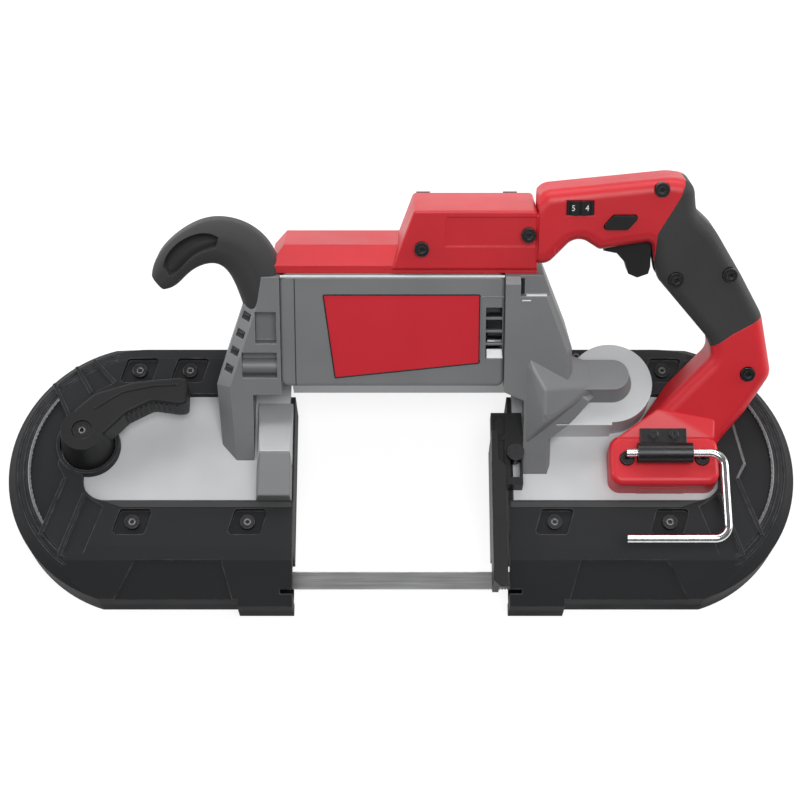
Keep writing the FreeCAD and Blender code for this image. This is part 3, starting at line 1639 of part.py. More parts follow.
def battery_rail():
    """Plate with two lipped rails on the back of the box."""
    back = box_back - rail_plate_thick
    form = block(rail_left, rail_right, cover_u_high, rail_high, back, box_back)
    rails = []
    for edge, out in ((rail_left, 1), (rail_right, -1)):
        inner = edge + out * rail_thick
        lip = edge + out * (rail_thick + rail_lip)
        rails.append(block(min(edge, inner), max(edge, inner), cover_u_high, rail_high, back - rail_deep,
                           back))
        rails.append(block(min(edge, lip), max(edge, lip), cover_u_high, rail_high, back - rail_deep,
                           back - rail_deep + rail_lip))
    return tilted(form.fuse(rails).removeSplitter())


def battery_terminals():
    back = box_back - rail_plate_thick
    blades = []
    for i in range(terminal_count):
        x = box_mid + (i - (terminal_count - 1) / 2) * rail_deep
        blades.append(tilted(block(x - terminal_thick / 2, x + terminal_thick / 2, cover_u_high,
                                   cover_u_high + terminal_long,
                                   back - terminal_deep, back)))
    return group(blades)


def horn_loft(places, halves, turns_deg, middle, half_deep):
    """Smooth tube through rounded sections set across a curved line."""
    wires = []
    for (x, u), half, turn in zip(places, halves, turns_deg):
        corners = [(-half, -half_deep), (half, -half_deep), (half, half_deep), (-half, half_deep)]
        wire = outline(corners, [min(half, half_deep) * horn_round_share] * len(corners))
        wire.rotate(V(0, 0, 0), X_DIR, 90)
        wire.rotate(V(0, 0, 0), Z_DIR, turn)
        wire.translate(V(x, u, middle))
        wires.append(wire)
    return Part.makeLoft(wires, True, False)


def front_handle():
    """Hooked hand hold with a hollow in its front, cut flush with the bracket and the cover."""
    form = horn_loft(horn_places, horn_halves, horn_turns_deg, horn_mid_w, horn_half_deep)
    hollow = horn_loft(horn_hollow_places, horn_hollow_halves, horn_hollow_turns_deg,
                       horn_mid_w + horn_half_deep,
                       horn_hollow_deep)
    form = above_deck(tilted(form.cut(hollow)), plate_front)
    for piece in (side_bracket(), top_cover(), motor_housing()):
        form = form.cut(piece)
    return max(form.Solids, key=lambda solid: solid.Volume)


def hook_clip():
    base = plate_front + foot_rise
    plate = block(clip_left + hook_rod, clip_right - hook_rod, hook_y(), clip_high, base, base + clip_plate)
    barrel = bar_x(clip_barrel, hook_y(), hook_z(), clip_left, clip_right)
    form = plate.fuse(barrel).removeSplitter()
    bore = bar_x(hook_rod + shaft_gap, hook_y(), hook_z(), clip_left - overrun, clip_right + overrun)
    cuts = [bore] + [rod(clip_screw_radius, x, clip_screw_y(), base - overrun,
                         base + reach) for x in clip_screw_places()]
    return form.cut(cuts)


def hook_y():
    return clip_low + clip_barrel


def hook_z():
    return plate_front + foot_rise + clip_barrel


def clip_screw_y():
    return clip_high - clip_screw_head * 1.5


def clip_screw_places():
    middle = (clip_left + clip_right) / 2
    return [middle - clip_barrel, middle + clip_barrel]


def hook_clip_screws():
    seat = plate_front + foot_rise + clip_plate
    screws = []
    for x in clip_screw_places():
        shank = rod(clip_screw_radius - seat_gap, x, clip_screw_y(), seat - clip_plate, seat)
        head = rod(clip_screw_head, x, clip_screw_y(), seat, seat + clip_screw_high)
        screws.append(head.fuse(shank).removeSplitter())
    return group(screws)


def hang_hook():
    """Bent rod that swings in the clip."""
    low = hook_y() - hook_drop
    spots = [V(hook_left, hook_y(), hook_z()), V(hook_right, hook_y(), hook_z()),
             V(hook_right, low, hook_z()),
             V(hook_tail, low, hook_z())]
    path = [Part.makeLine(spots[0], spots[1] - X_DIR * hook_bend)]
    for i in (1, 2):
        before = (spots[i - 1] - spots[i]).normalize()
        after = (spots[i + 1] - spots[i]).normalize()
        start = spots[i] + before * hook_bend
        end = spots[i] + after * hook_bend
        middle = spots[i] + (before + after) * (hook_bend * (1 - math.sqrt(0.5)))
        path.append(Part.Arc(start, middle, end).toShape())
        goal = spots[i + 1] - after * hook_bend if i == 1 else spots[i + 1]
        path.append(Part.makeLine(end, goal))
    line = Part.Wire(path)
    section = Part.Wire(Part.makeCircle(hook_rod, spots[0], X_DIR))
    return line.makePipeShell([section], True, True)


def switch_body():
    return tilted(block(switch_left, switch_right, switch_low, switch_high, handle_split_w - switch_half,
                        handle_split_w + switch_half))


NODES = {
    "main_frame": main_frame,
    "left_guard": left_guard,
    "right_guard": right_guard,
    "guard_screws": guard_screws,
    "motor_housing": motor_housing,
    "label_plate": label_plate,
    "side_bracket": side_bracket,
    "gear_case": gear_case,
    "gear_cover": gear_cover,
    "gear_back_plate": gear_back_plate,
    "top_cover": top_cover,
    "handle_front": handle_front,
    "handle_rear": handle_rear,
    "rear_grip": rear_grip,
    "handle_screws": handle_screws,
    "trigger": trigger,
    "switch_body": switch_body,
    "lock_button": lock_button,
    "speed_dial": speed_dial,
    "battery_rail": battery_rail,
    "battery_terminals": battery_terminals,
    "front_handle": front_handle,
    "left_guide_block": left_guide_block,
    "right_guide_block": right_guide_block,
    "work_shoe": work_shoe,
    "shoe_clamp": shoe_clamp,
    "hook_clip": hook_clip,
    "hook_clip_screws": hook_clip_screws,
    "hang_hook": hang_hook,
    "blade": blade,
    "drive_wheel": drive_wheel,
    "drive_tyre": drive_tyre,
    "drive_axle": drive_axle,
    "drive_nut": drive_nut,
    "output_gear": output_gear,
    "pinion_shaft": pinion_shaft,
    "bevel_gear": bevel_gear,
    "countershaft": countershaft,
    "shaft_bearings": shaft_bearings,
    "rotor": rotor,
    "cooling_fan": cooling_fan,
    "stator": stator,
    "idler_wheel": idler_wheel,
    "idler_tyre": idler_tyre,
    "idler_axle": idler_axle,
    "idler_bearings": idler_bearings,
    "tension_carriage": tension_carriage,
    "tension_rails": tension_rails,
    "tension_lever": tension_lever,
    "lever_screw": lever_screw,
    "tension_cam": tension_cam,
    "tension_spring": tension_spring,
}


def build():
    os.makedirs("parts", exist_ok=True)
    for face, side in (("left", guide_left_x), ("right", guide_right_x)):
        NODES[face + "_roller_front"] = lambda x=side: side_roller(x, 1)
        NODES[face + "_roller_back"] = lambda x=side: side_roller(x, -1)
        NODES[face + "_backup_roller"] = lambda x=side: backup_roller(x)
    for name, make in NODES.items():
        shape = make()
        shape.translate(V(0, -axis_drop, 0))
        shape.exportStep("parts/" + name + ".step")


if __name__ == "__main__":
    build()
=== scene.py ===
import bpy
import bmesh
import json
import math
from mathutils import Matrix, Vector


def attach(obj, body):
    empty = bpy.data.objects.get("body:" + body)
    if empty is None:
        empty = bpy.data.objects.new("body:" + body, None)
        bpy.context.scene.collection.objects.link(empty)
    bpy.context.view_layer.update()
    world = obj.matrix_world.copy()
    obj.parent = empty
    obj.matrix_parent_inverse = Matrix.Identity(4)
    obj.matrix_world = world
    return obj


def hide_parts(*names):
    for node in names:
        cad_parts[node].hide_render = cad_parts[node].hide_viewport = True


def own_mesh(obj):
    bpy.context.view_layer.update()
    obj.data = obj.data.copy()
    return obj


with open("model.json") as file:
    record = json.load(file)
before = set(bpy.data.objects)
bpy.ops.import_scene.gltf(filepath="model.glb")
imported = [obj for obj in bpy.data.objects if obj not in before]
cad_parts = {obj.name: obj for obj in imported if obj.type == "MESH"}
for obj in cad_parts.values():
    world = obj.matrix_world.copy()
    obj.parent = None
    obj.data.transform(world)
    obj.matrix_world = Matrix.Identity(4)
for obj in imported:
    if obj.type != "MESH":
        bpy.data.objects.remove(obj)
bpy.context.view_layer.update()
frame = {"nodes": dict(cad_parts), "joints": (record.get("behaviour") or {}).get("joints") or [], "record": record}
nodes = frame["nodes"]
print("frame loaded:", len(nodes), "nodes")

# lengths are in millimetres unless they come from the frame, and mm turns them to metres
mm = 0.001
jointPlaces = {joint["name"]: joint.get("pos_m") for joint in frame["joints"]}
layout = {"axisDrop": -jointPlaces["drive_spin"][1] / mm, "tilt": 40.0}
tiltAngle = math.radians(layout["tilt"])
cosTilt = math.cos(tiltAngle)
sinTilt = math.sin(tiltAngle)
deckTurn = Matrix.Translation((0, -layout["axisDrop"] * mm, 0))
tiltTurn = deckTurn @ Matrix.Rotation(tiltAngle, 4, "X")
weldGap = {"screws": 1e-5, "forms": 1e-6, "numbers": 1e-7}  # metres


def deck(x, y, z):
    # a point of the deck drawing in the row frame
    return Vector((x * mm, (y - layout["axisDrop"]) * mm, z * mm))


def cutting(x, u, w):
    # a point of the tilted drawing in the row frame
    return deck(x, u * cosTilt - w * sinTilt, u * sinTilt + w * cosTilt)


def addToScene(name, data):
    made = bpy.data.objects.new(name, data)
    bpy.context.scene.collection.objects.link(made)
    return made


# finishes

finishWork = {"edgeSamples": 6, "edgeRange": (0.8, 0.995), "cloudRange": (0.3, 0.7)}
mixSockets = {"factor": 0, "first": 6, "second": 7, "result": 2}  # places of a mix node's colour sockets


def scaled(colour, factor):
    return tuple(min(1.0, c * factor) for c in colour)


class Finish:
    # one material being wired up
    def __init__(self, name):
        self.material = bpy.data.materials.new(name)
        self.material.use_nodes = True
        self.tree = self.material.node_tree
        self.bsdf = self.tree.nodes["Principled BSDF"]
        self.coords = self.node("ShaderNodeTexCoord").outputs["Object"]

    def link(self, a, b):
        self.tree.links.new(a, b)

    def fill(self, socket, value):
        # an input takes a plain value or another node's output
        if isinstance(value, bpy.types.NodeSocket):
            self.link(value, socket)
        else:
            socket.default_value = value

    def node(self, kind, inputs=None, **settings):
        made = self.tree.nodes.new(kind)
        for key, value in settings.items():
            setattr(made, key, value)
        for key, value in (inputs or {}).items():
            self.fill(made.inputs[key], value)
        return made

    def give(self, name, value):
        self.fill(self.bsdf.inputs[name], value)

    def noise(self, scale, detail, rough=0.5, stretch=None):
        source = self.coords
        if stretch:
            source = self.node("ShaderNodeMapping", {"Vector": source, "Scale": stretch}).outputs["Vector"]
        sockets = {"Vector": source, "Scale": scale, "Detail": detail, "Roughness": rough}
        return self.node("ShaderNodeTexNoise", sockets).outputs["Fac"]

    def cells(self, scale):
        return self.node("ShaderNodeTexVoronoi", {"Vector": self.coords, "Scale": scale}).outputs["Distance"]

    def spread(self, value, low, high, given=finishWork["cloudRange"]):
        sockets = {"Value": value, "From Min": given[0], "From Max": given[1], "To Min": low, "To Max": high}
        return self.node("ShaderNodeMapRange", sockets).outputs["Result"]

    def ramp(self, value, stops):
        # two stops, each a place and a colour
        made = self.node("ShaderNodeValToRGB", {"Fac": value})
        for element, (place, colour) in zip(made.color_ramp.elements, stops):
            element.position = place
            element.color = (*colour, 1)
        return made.outputs["Color"]

    def shades(self, value, colour, low, high):
        # a colour that wanders between two strengths
        start, end = finishWork["cloudRange"]
        return self.ramp(value, [(start, scaled(colour, low)), (end, scaled(colour, high))])

    def mix(self, factor, first, second):
        sockets = {mixSockets["factor"]: factor}
        for key, colour in (("first", first), ("second", second)):
            sockets[mixSockets[key]] = (*colour, 1) if isinstance(colour, tuple) else colour
        return self.node("ShaderNodeMix", sockets, data_type="RGBA").outputs[mixSockets["result"]]

    def maths(self, operation, a, b):
        return self.node("ShaderNodeMath", {0: a, 1: b}, operation=operation).outputs[0]

    def weighed(self, a, shareA, b, shareB):
        # two patterns added by their shares
        return self.maths("ADD", self.maths("MULTIPLY", a, shareA), self.maths("MULTIPLY", b, shareB))

    def edges(self, radius):
        # soft edge normal, and how near an edge a point lies
        bevel = self.node("ShaderNodeBevel", {"Radius": radius}, samples=finishWork["edgeSamples"])
        soft = bevel.outputs["Normal"]
        plain = self.node("ShaderNodeNewGeometry").outputs["Normal"]
        dot = self.node("ShaderNodeVectorMath", {0: soft, 1: plain}, operation="DOT_PRODUCT")
        return soft, self.spread(dot.outputs["Value"], 1.0, 0.0, finishWork["edgeRange"])

    def worn(self, edge, colour, look, work):
        # edges lighter in patches: rubbed wear, and partly a painted highlight along the edges
        rubbed = self.noise(work["wearScale"], work["wearDetail"])
        amount = self.maths("MULTIPLY", edge, self.spread(rubbed, work["wearLeast"], look["wear"]))
        return self.mix(amount, colour, look["edgeColour"])

    def bump(self, height, strength, distance, normal):
        sockets = {"Height": height, "Strength": strength, "Distance": distance, "Normal": normal}
        return self.node("ShaderNodeBump", sockets).outputs["Normal"]


plasticWork = {"cloudDetail": 4.0, "shades": (0.9, 1.08), "wearScale": 140, "wearDetail": 5.0,
               "wearLeast": 0.1, "grainDetail": 2.0, "smearScale": 30, "smearDetail": 6.0,
               "grainShare": 0.4, "smearShare": 0.6, "relief": 0.12}


def mouldedPlastic(name, look):
    made = Finish(name)
    work = plasticWork
    normal, edge = made.edges(look["edge"] * mm)
    cloud = made.noise(look["mottle"], work["cloudDetail"])
    colour = made.shades(cloud, look["colour"], *work["shades"])
    if "skirt" in look:
        # painted shade: the lower wall is darkened by its height, standing in for the shade that falls on it
        low, high, share = look["skirt"]
        level = made.node("ShaderNodeSeparateXYZ", {"Vector": made.coords}).outputs["Z"]
        upper = made.spread(level, 0.0, 1.0, (low * mm, high * mm))
        colour = made.mix(upper, scaled(look["colour"], share), colour)
    made.give("Base Color", made.worn(edge, colour, look, work))
    grain = made.noise(look["grain"], work["grainDetail"])
    smear = made.noise(work["smearScale"], work["smearDetail"])
    polish = made.weighed(grain, work["grainShare"], smear, work["smearShare"])
    made.give("Roughness", made.spread(polish, *look["rough"]))
    made.give("Normal", made.bump(grain, look["bump"], work["relief"] * mm, normal))
    made.give("Specular IOR Level", look["specular"])
    return made.material


castWork = {"cloudDetail": 5.0, "shades": (0.92, 1.06), "wearScale": 160, "wearDetail": 5.0,
            "wearLeast": 0.15, "fineScale": 1.7, "fineDetail": 2.0, "pitShare": 0.6, "fineShare": 1.0,
            "roughFineShare": 0.5, "roughCloudShare": 0.5, "relief": 0.15}


def castMetal(name, look):
    made = Finish(name)
    work = castWork
    normal, edge = made.edges(look["edge"] * mm)
    cloud = made.noise(look["mottle"], work["cloudDetail"])
    colour = made.shades(cloud, look["colour"], *work["shades"])
    made.give("Base Color", made.worn(edge, colour, look, work))
    pits = made.cells(look["grain"])
    fine = made.noise(look["grain"] * work["fineScale"], work["fineDetail"])
    height = made.weighed(pits, work["pitShare"], fine, work["fineShare"])
    made.give("Normal", made.bump(height, look["bump"], work["relief"] * mm, normal))
    polish = made.weighed(fine, work["roughFineShare"], cloud, work["roughCloudShare"])
    made.give("Roughness", made.spread(polish, *look["rough"]))
    made.give("Metallic", look["metal"])
    return made.material


steelWork = {"lineScale": 1.0, "lineDetail": 3.0, "lineRough": 0.6, "shades": (0.8, 1.12), "wear": 0.35,
             "cloudScale": 40, "cloudDetail": 4.0, "lineShare": 0.6, "cloudShare": 0.4, "relief": 0.05}


def groundSteel(name, look):
    made = Finish(name)
    work = steelWork
    normal, edge = made.edges(look["edge"] * mm)
    lines = made.noise(work["lineScale"], work["lineDetail"], work["lineRough"], look["stretch"])
    cloud = made.noise(work["cloudScale"], work["cloudDetail"])
    colour = made.shades(lines, look["colour"], *work["shades"])
    made.give("Base Color", made.mix(made.maths("MULTIPLY", edge, work["wear"]), colour, look["edgeColour"]))
    polish = made.weighed(lines, work["lineShare"], cloud, work["cloudShare"])
    made.give("Roughness", made.spread(polish, *look["rough"]))
    made.give("Normal", made.bump(lines, look["bump"], work["relief"] * mm, normal))
    made.give("Metallic", 1.0)
    return made.material


rubberWork = {"cloudScale": 22, "cloudDetail": 4.0, "shades": (0.88, 1.12), "fineScale": 2.2,
              "fineDetail": 2.0, "dotShare": 1.0, "fineShare": 0.4, "relief": 0.2, "specular": 0.35,
              "sheen": 0.06}


def gripRubber(name, look):
    made = Finish(name)
    work = rubberWork
    normal, edge = made.edges(look["edge"] * mm)
    cloud = made.noise(work["cloudScale"], work["cloudDetail"])
    colour = made.shades(cloud, look["colour"], *work["shades"])
    made.give("Base Color", made.mix(made.maths("MULTIPLY", edge, look["wear"]), colour, look["edgeColour"]))
    dots = made.cells(look["dots"])
    fine = made.noise(look["dots"] * work["fineScale"], work["fineDetail"])
    height = made.weighed(dots, work["dotShare"], fine, work["fineShare"])
    made.give("Normal", made.bump(height, look["bump"], work["relief"] * mm, normal))
    made.give("Roughness", made.spread(cloud, *look["rough"]))
    made.give("Specular IOR Level", work["specular"])
    made.give("Sheen Weight", work["sheen"])
    return made.material


# edge is the width of the lighter edge, partly wear and partly a painted highlight, and the lower-wall setting
# gives two levels and the share of colour kept below them, a painted shade
looks = {
    "plate_metal": (castMetal, {
        "colour": (0.56, 0.575, 0.585), "edgeColour": (0.8, 0.81, 0.82), "edge": 0.5, "mottle": 14,
        "grain": 900, "bump": 0.12, "rough": (0.38, 0.55), "metal": 0.25, "wear": 0.5}),
    "housing_metal": (castMetal, {
        "colour": (0.205, 0.208, 0.213), "edgeColour": (0.55, 0.55, 0.56), "edge": 0.7, "mottle": 16,
        "grain": 1100, "bump": 0.2, "rough": (0.42, 0.58), "metal": 0.2, "wear": 0.55}),
    # the guards' strong lighter edges are partly a painted highlight along the moulded edges
    "guard_plastic": (mouldedPlastic, {
        "colour": (0.029, 0.0295, 0.031), "edgeColour": (0.2, 0.2, 0.205), "edge": 1.1, "mottle": 12,
        "grain": 1500, "bump": 0.25, "rough": (0.42, 0.58), "wear": 0.75, "specular": 0.025,
        # painted shade: the lower wall of the guards is darkened below these levels
        "skirt": (11.0, 16.0, 0.25)}),
    "black_plastic": (mouldedPlastic, {
        "colour": (0.018, 0.018, 0.019), "edgeColour": (0.1, 0.1, 0.105), "edge": 0.6, "mottle": 20,
        "grain": 1700, "bump": 0.2, "rough": (0.4, 0.55), "wear": 0.5, "specular": 0.2}),
    "red_plastic": (mouldedPlastic, {
        "colour": (0.6, 0.016, 0.026), "edgeColour": (0.78, 0.09, 0.1), "edge": 0.9, "mottle": 10,
        "grain": 1400, "bump": 0.14, "rough": (0.36, 0.5), "wear": 0.4, "specular": 0.45}),
    "red_plate": (mouldedPlastic, {
        "colour": (0.62, 0.018, 0.032), "edgeColour": (0.3, 0.01, 0.02), "edge": 0.3, "mottle": 8,
        "grain": 2400, "bump": 0.05, "rough": (0.3, 0.42), "wear": 0.5, "specular": 0.5}),
    "grip_rubber": (gripRubber, {
        "colour": (0.034, 0.034, 0.035), "edgeColour": (0.1, 0.1, 0.1), "edge": 0.8, "dots": 900,
        "bump": 0.3, "rough": (0.55, 0.72), "wear": 0.3}),
    "black_screw": (groundSteel, {
        "colour": (0.05, 0.05, 0.052), "edgeColour": (0.45, 0.45, 0.45), "edge": 0.35,
        "stretch": (900, 900, 300), "bump": 0.15, "rough": (0.3, 0.5)}),
    "contact_brass": (groundSteel, {
        "colour": (0.7, 0.5, 0.22), "edgeColour": (0.85, 0.7, 0.4), "edge": 0.2,
        "stretch": (400, 1200, 400), "bump": 0.1, "rough": (0.25, 0.45)}),
    "hook_steel": (groundSteel, {
        "colour": (0.72, 0.73, 0.74), "edgeColour": (0.9, 0.9, 0.9), "edge": 0.2,
        "stretch": (300, 300, 300), "bump": 0.04, "rough": (0.1, 0.22)}),
    "blade_steel": (groundSteel, {
        "colour": (0.74, 0.74, 0.75), "edgeColour": (0.6, 0.6, 0.61), "edge": 0.2,
        "stretch": (25, 1500, 1500), "bump": 0.1, "rough": (0.32, 0.5)}),
    "wheel_metal": (castMetal, {
        "colour": (0.5, 0.5, 0.51), "edgeColour": (0.75, 0.75, 0.76), "edge": 0.6, "mottle": 18,
        "grain": 700, "bump": 0.15, "rough": (0.35, 0.5), "metal": 0.6, "wear": 0.5}),
    "wheel_rubber": (gripRubber, {
        "colour": (0.025, 0.025, 0.026), "edgeColour": (0.07, 0.07, 0.07), "edge": 0.5, "dots": 1400,
        "bump": 0.15, "rough": (0.6, 0.75), "wear": 0.2}),
    "shaft_steel": (groundSteel, {
        "colour": (0.42, 0.42, 0.43), "edgeColour": (0.7, 0.7, 0.7), "edge": 0.3,
        "stretch": (500, 500, 500), "bump": 0.08, "rough": (0.25, 0.42)}),
}
finishes = {}
for slotName, (maker, finishLook) in looks.items():
    finishes[slotName] = maker(slotName.replace("_", " "), finishLook)
for part in frame["record"]["subparts"]:
    shown = nodes[part["node"]]
    shown.data.materials.clear()
    shown.data.materials.append(finishes[part["material_slot"]])
print("finishes:", len(finishes))


def piece(name, mesh, body, slotName, finish=None):
    # a new piece of the scene that moves with a body
    made = addToScene(name, mesh)
    if not mesh.materials:
        mesh.materials.append(finish or finishes[slotName])
    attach(made, body)
    return made


# grown pieces

class Grower:
    # a node tree that repeats or sweeps a small shape on seed points and lines
    def __init__(self, name, sizes):
        self.group = bpy.data.node_groups.new(name, "GeometryNodeTree")
        self.sizes = sizes
        self.keys = {}
        face = self.group.interface
        face.new_socket("Seed", in_out="INPUT", socket_type="NodeSocketGeometry")
        for label, value in sizes.items():
            kind = "NodeSocketInt" if isinstance(value, int) else "NodeSocketFloat"
            self.keys[label] = face.new_socket(label, in_out="INPUT", socket_type=kind).identifier
        finish = face.new_socket("Finish", in_out="INPUT", socket_type="NodeSocketMaterial")
        self.keys["Finish"] = finish.identifier
        face.new_socket("Shape", in_out="OUTPUT", socket_type="NodeSocketGeometry")
        self.given = self.group.nodes.new("NodeGroupInput").outputs

    def add(self, kind, inputs, **settings):
        made = self.group.nodes.new(kind)
        for key, value in settings.items():
            setattr(made, key, value)
        for key, value in inputs.items():
            if isinstance(value, bpy.types.NodeSocket):
                self.group.links.new(value, made.inputs[key])
            else:
                made.inputs[key].default_value = value
        return made.outputs

    def close(self, shape):
        whole = self.add("GeometryNodeRealizeInstances", {"Geometry": shape})["Geometry"]
        dressed = self.add("GeometryNodeSetMaterial", {"Geometry": whole, "Material": self.given["Finish"]})
        shapeOut = self.group.nodes.new("NodeGroupOutput").inputs["Shape"]
        self.group.links.new(dressed["Geometry"], shapeOut)

    def grow(self, name, seed, finish, changes=None):
        holder = addToScene(name + "Seed", seed)
        modifier = holder.modifiers.new("grow", "NODES")
        modifier.node_group = self.group
        for label, value in {**self.sizes, **(changes or {}), "Finish": finish}.items():
            modifier[self.keys[label]] = value
        graph = bpy.context.evaluated_depsgraph_get()
        mesh = bpy.data.meshes.new_from_object(holder.evaluated_get(graph))
        mesh.name = name
        bpy.data.objects.remove(holder)
        return mesh


def pointSeed(name, points):
    mesh = bpy.data.meshes.new(name)
    mesh.from_pydata([tuple(p) for p in points], [], [])
    return mesh


def lineSeed(name, lines, closed=False):
    # open or closed runs of points
    spots = []
    joins = []
    for line in lines:
        first = len(spots)
        spots += [tuple(p) for p in line]
        joins += [(i, i + 1) for i in range(first, len(spots) - 1)]
        if closed:
            joins.append((len(spots) - 1, first))
    mesh = bpy.data.meshes.new(name)
    mesh.from_pydata(spots, joins, [])
    return mesh


def beadTree():
    # a round bead along lines, with rounded corners
    tree = Grower("moulded bead", {"Bead Radius": 0.6 * mm, "Bead Sides": 10,
                                   "Corner Radius": 1.5 * mm, "Corner Steps": 5})
    given = tree.given
    line = tree.add("GeometryNodeMeshToCurve", {"Mesh": given["Seed"]})["Curve"]
    corners = {"Curve": line, "Radius": given["Corner Radius"], "Count": given["Corner Steps"],
               "Limit Radius": True}
    bent = tree.add("GeometryNodeFilletCurve", corners, mode="POLY")["Curve"]
    circle = {"Resolution": given["Bead Sides"], "Radius": given["Bead Radius"]}
    section = tree.add("GeometryNodeCurvePrimitiveCircle", circle)["Curve"]
    sweep = {"Curve": bent, "Profile Curve": section, "Fill Caps": True}
    swept = tree.add("GeometryNodeCurveToMesh", sweep)["Mesh"]
    tree.close(tree.add("GeometryNodeSetShadeSmooth", {"Geometry": swept})["Geometry"])
    return tree


def socketTree():
    # a ring with a six-sided hole, turned a little differently on each screw
    tree = Grower("hex socket", {"Ring Radius": 2.26 * mm, "Ring Sides": 28, "Hex Radius": 1.65 * mm,
                                 "Hex Sides": 6, "Ring Depth": 1.5 * mm, "Sink": 0.35 * mm, "Tilt": 0.0,
                                 "Largest Turn": 1.05, "Seed Number": 7})
    given = tree.given
    both = tree.add("GeometryNodeJoinGeometry", {})["Geometry"]
    for sides, radius in (("Ring Sides", "Ring Radius"), ("Hex Sides", "Hex Radius")):
        circle = {"Resolution": given[sides], "Radius": given[radius]}
        line = tree.add("GeometryNodeCurvePrimitiveCircle", circle)["Curve"]
        tree.group.links.new(line, both.node.inputs["Geometry"])
    flat = tree.add("GeometryNodeFillCurve", {"Curve": both})["Mesh"]
    upright = {"Mesh": flat, "Offset Scale": given["Ring Depth"], "Individual": False}
    tall = tree.add("GeometryNodeExtrudeMesh", upright)["Mesh"]
    drop = tree.add("ShaderNodeMath", {0: given["Sink"], 1: given["Ring Depth"]}, operation="ADD")[0]
    fall = tree.add("ShaderNodeMath", {0: drop, 1: -1.0}, operation="MULTIPLY")[0]
    shift = tree.add("ShaderNodeCombineXYZ", {"Z": fall})[0]
    ring = tree.add("GeometryNodeTransform", {"Geometry": tall, "Translation": shift})["Geometry"]
    lean = tree.add("ShaderNodeCombineXYZ", {"X": given["Tilt"]})[0]
    leanTurn = tree.add("FunctionNodeEulerToRotation", {0: lean})[0]
    chances = {"Min": 0.0, "Max": given["Largest Turn"], "Seed": given["Seed Number"]}
    chance = tree.add("FunctionNodeRandomValue", chances, data_type="FLOAT")["Value"]
    spin = tree.add("ShaderNodeCombineXYZ", {"Z": chance})[0]
    spinTurn = tree.add("FunctionNodeEulerToRotation", {0: spin})[0]
    turned = tree.add("FunctionNodeRotateRotation", {0: leanTurn, 1: spinTurn}, rotation_space="LOCAL")[0]
    rings = {"Points": given["Seed"], "Instance": ring, "Rotation": turned}
    tree.close(tree.add("GeometryNodeInstanceOnPoints", rings)["Instances"])
    return tree


def knurlTree():
    # fine upright ridges round a screw head
    tree = Grower("knurled head", {"Head Radius": 4.55 * mm, "Ridges": 26, "Ridge Radius": 0.42 * mm,
                                   "Ridge Sides": 6, "Ridge Height": 2.4 * mm, "Drop": -1.7 * mm})
    given = tree.given
    rod = {"Vertices": given["Ridge Sides"], "Radius": given["Ridge Radius"], "Depth": given["Ridge Height"]}
    ridge = tree.add("GeometryNodeMeshCylinder", rod)["Mesh"]
    circle = {"Vertices": given["Ridges"], "Radius": given["Head Radius"]}
    spots = tree.add("GeometryNodeMeshCircle", circle)["Mesh"]
    row = tree.add("GeometryNodeInstanceOnPoints", {"Points": spots, "Instance": ridge})["Instances"]
    shift = tree.add("ShaderNodeCombineXYZ", {"Z": given["Drop"]})[0]
    low = tree.add("GeometryNodeTransform", {"Geometry": row, "Translation": shift})["Geometry"]
    heads = {"Points": given["Seed"], "Instance": low}
    tree.close(tree.add("GeometryNodeInstanceOnPoints", heads)["Instances"])
    return tree


def toothTree():
    # upright round teeth along a line
    tree = Grower("grip teeth", {"Teeth": 10, "Tooth Radius": 1.1 * mm, "Tooth Sides": 12,
                                 "Tooth Height": 14.0 * mm})
    given = tree.given
    line = tree.add("GeometryNodeMeshToCurve", {"Mesh": given["Seed"]})["Curve"]
    spots = tree.add("GeometryNodeResampleCurve", {"Curve": line, "Count": given["Teeth"]})["Curve"]
    rod = {"Vertices": given["Tooth Sides"], "Radius": given["Tooth Radius"], "Depth": given["Tooth Height"]}
    tooth = tree.add("GeometryNodeMeshCylinder", rod)["Mesh"]
    row = tree.add("GeometryNodeInstanceOnPoints", {"Points": spots, "Instance": tooth})["Instances"]
    tree.close(row)
    return tree


bead = beadTree()
hexSocket = socketTree()
knurl = knurlTree()
gripTooth = toothTree()


def beadPiece(name, lines, body, slotName, look, closed=False, finish=None):
    # a bead with the look's radius and corner
    sizes = {"Bead Radius": look["radius"] * mm, "Corner Radius": look["corner"] * mm}
    mesh = bead.grow(name, lineSeed(name, lines, closed), finish or finishes[slotName], sizes)
    piece(name, mesh, body, slotName)


# screws

def looseSolids(node):
    # points of each separate solid of a node, from a merged copy
    work = bmesh.new()
    work.from_mesh(nodes[node].data)
    bmesh.ops.remove_doubles(work, verts=work.verts, dist=weldGap["screws"])
    waiting = set(work.verts)
    solids = []
    for first in work.verts:
        if first not in waiting:
            continue
        waiting.discard(first)
        edge = [first]
        found = []
        while edge:
            vert = edge.pop()
            found.append(vert.co.copy())
            near = [link.other_vert(vert) for link in vert.link_edges]
            fresh = [other for other in near if other in waiting]
            waiting.difference_update(fresh)
            edge += fresh
        solids.append(found)
    work.free()
    return solids


def headTop(points, turn):
    # middle of a screw head's top in the row frame, and how far from round it looks along that axis
    back = turn.inverted()
    local = [back @ p for p in points]
    low = Vector([min(p[i] for p in local) for i in range(3)])
    high = Vector([max(p[i] for p in local) for i in range(3)])
    uneven = abs((high.x - low.x) - (high.y - low.y))
    return turn @ Vector(((low.x + high.x) / 2, (low.y + high.y) / 2, high.z)), uneven


def screwTops(node):
    # tops that stand on the deck, and tops that lean with the housing
    flat = []
    leaning = []
    for points in looseSolids(node):
        onDeck, deckUneven = headTop(points, deckTurn)
        onHousing, housingUneven = headTop(points, tiltTurn)
        if deckUneven <= housingUneven:
            flat.append(onDeck)
        else:
            leaning.append(onHousing)
    return flat, leaning
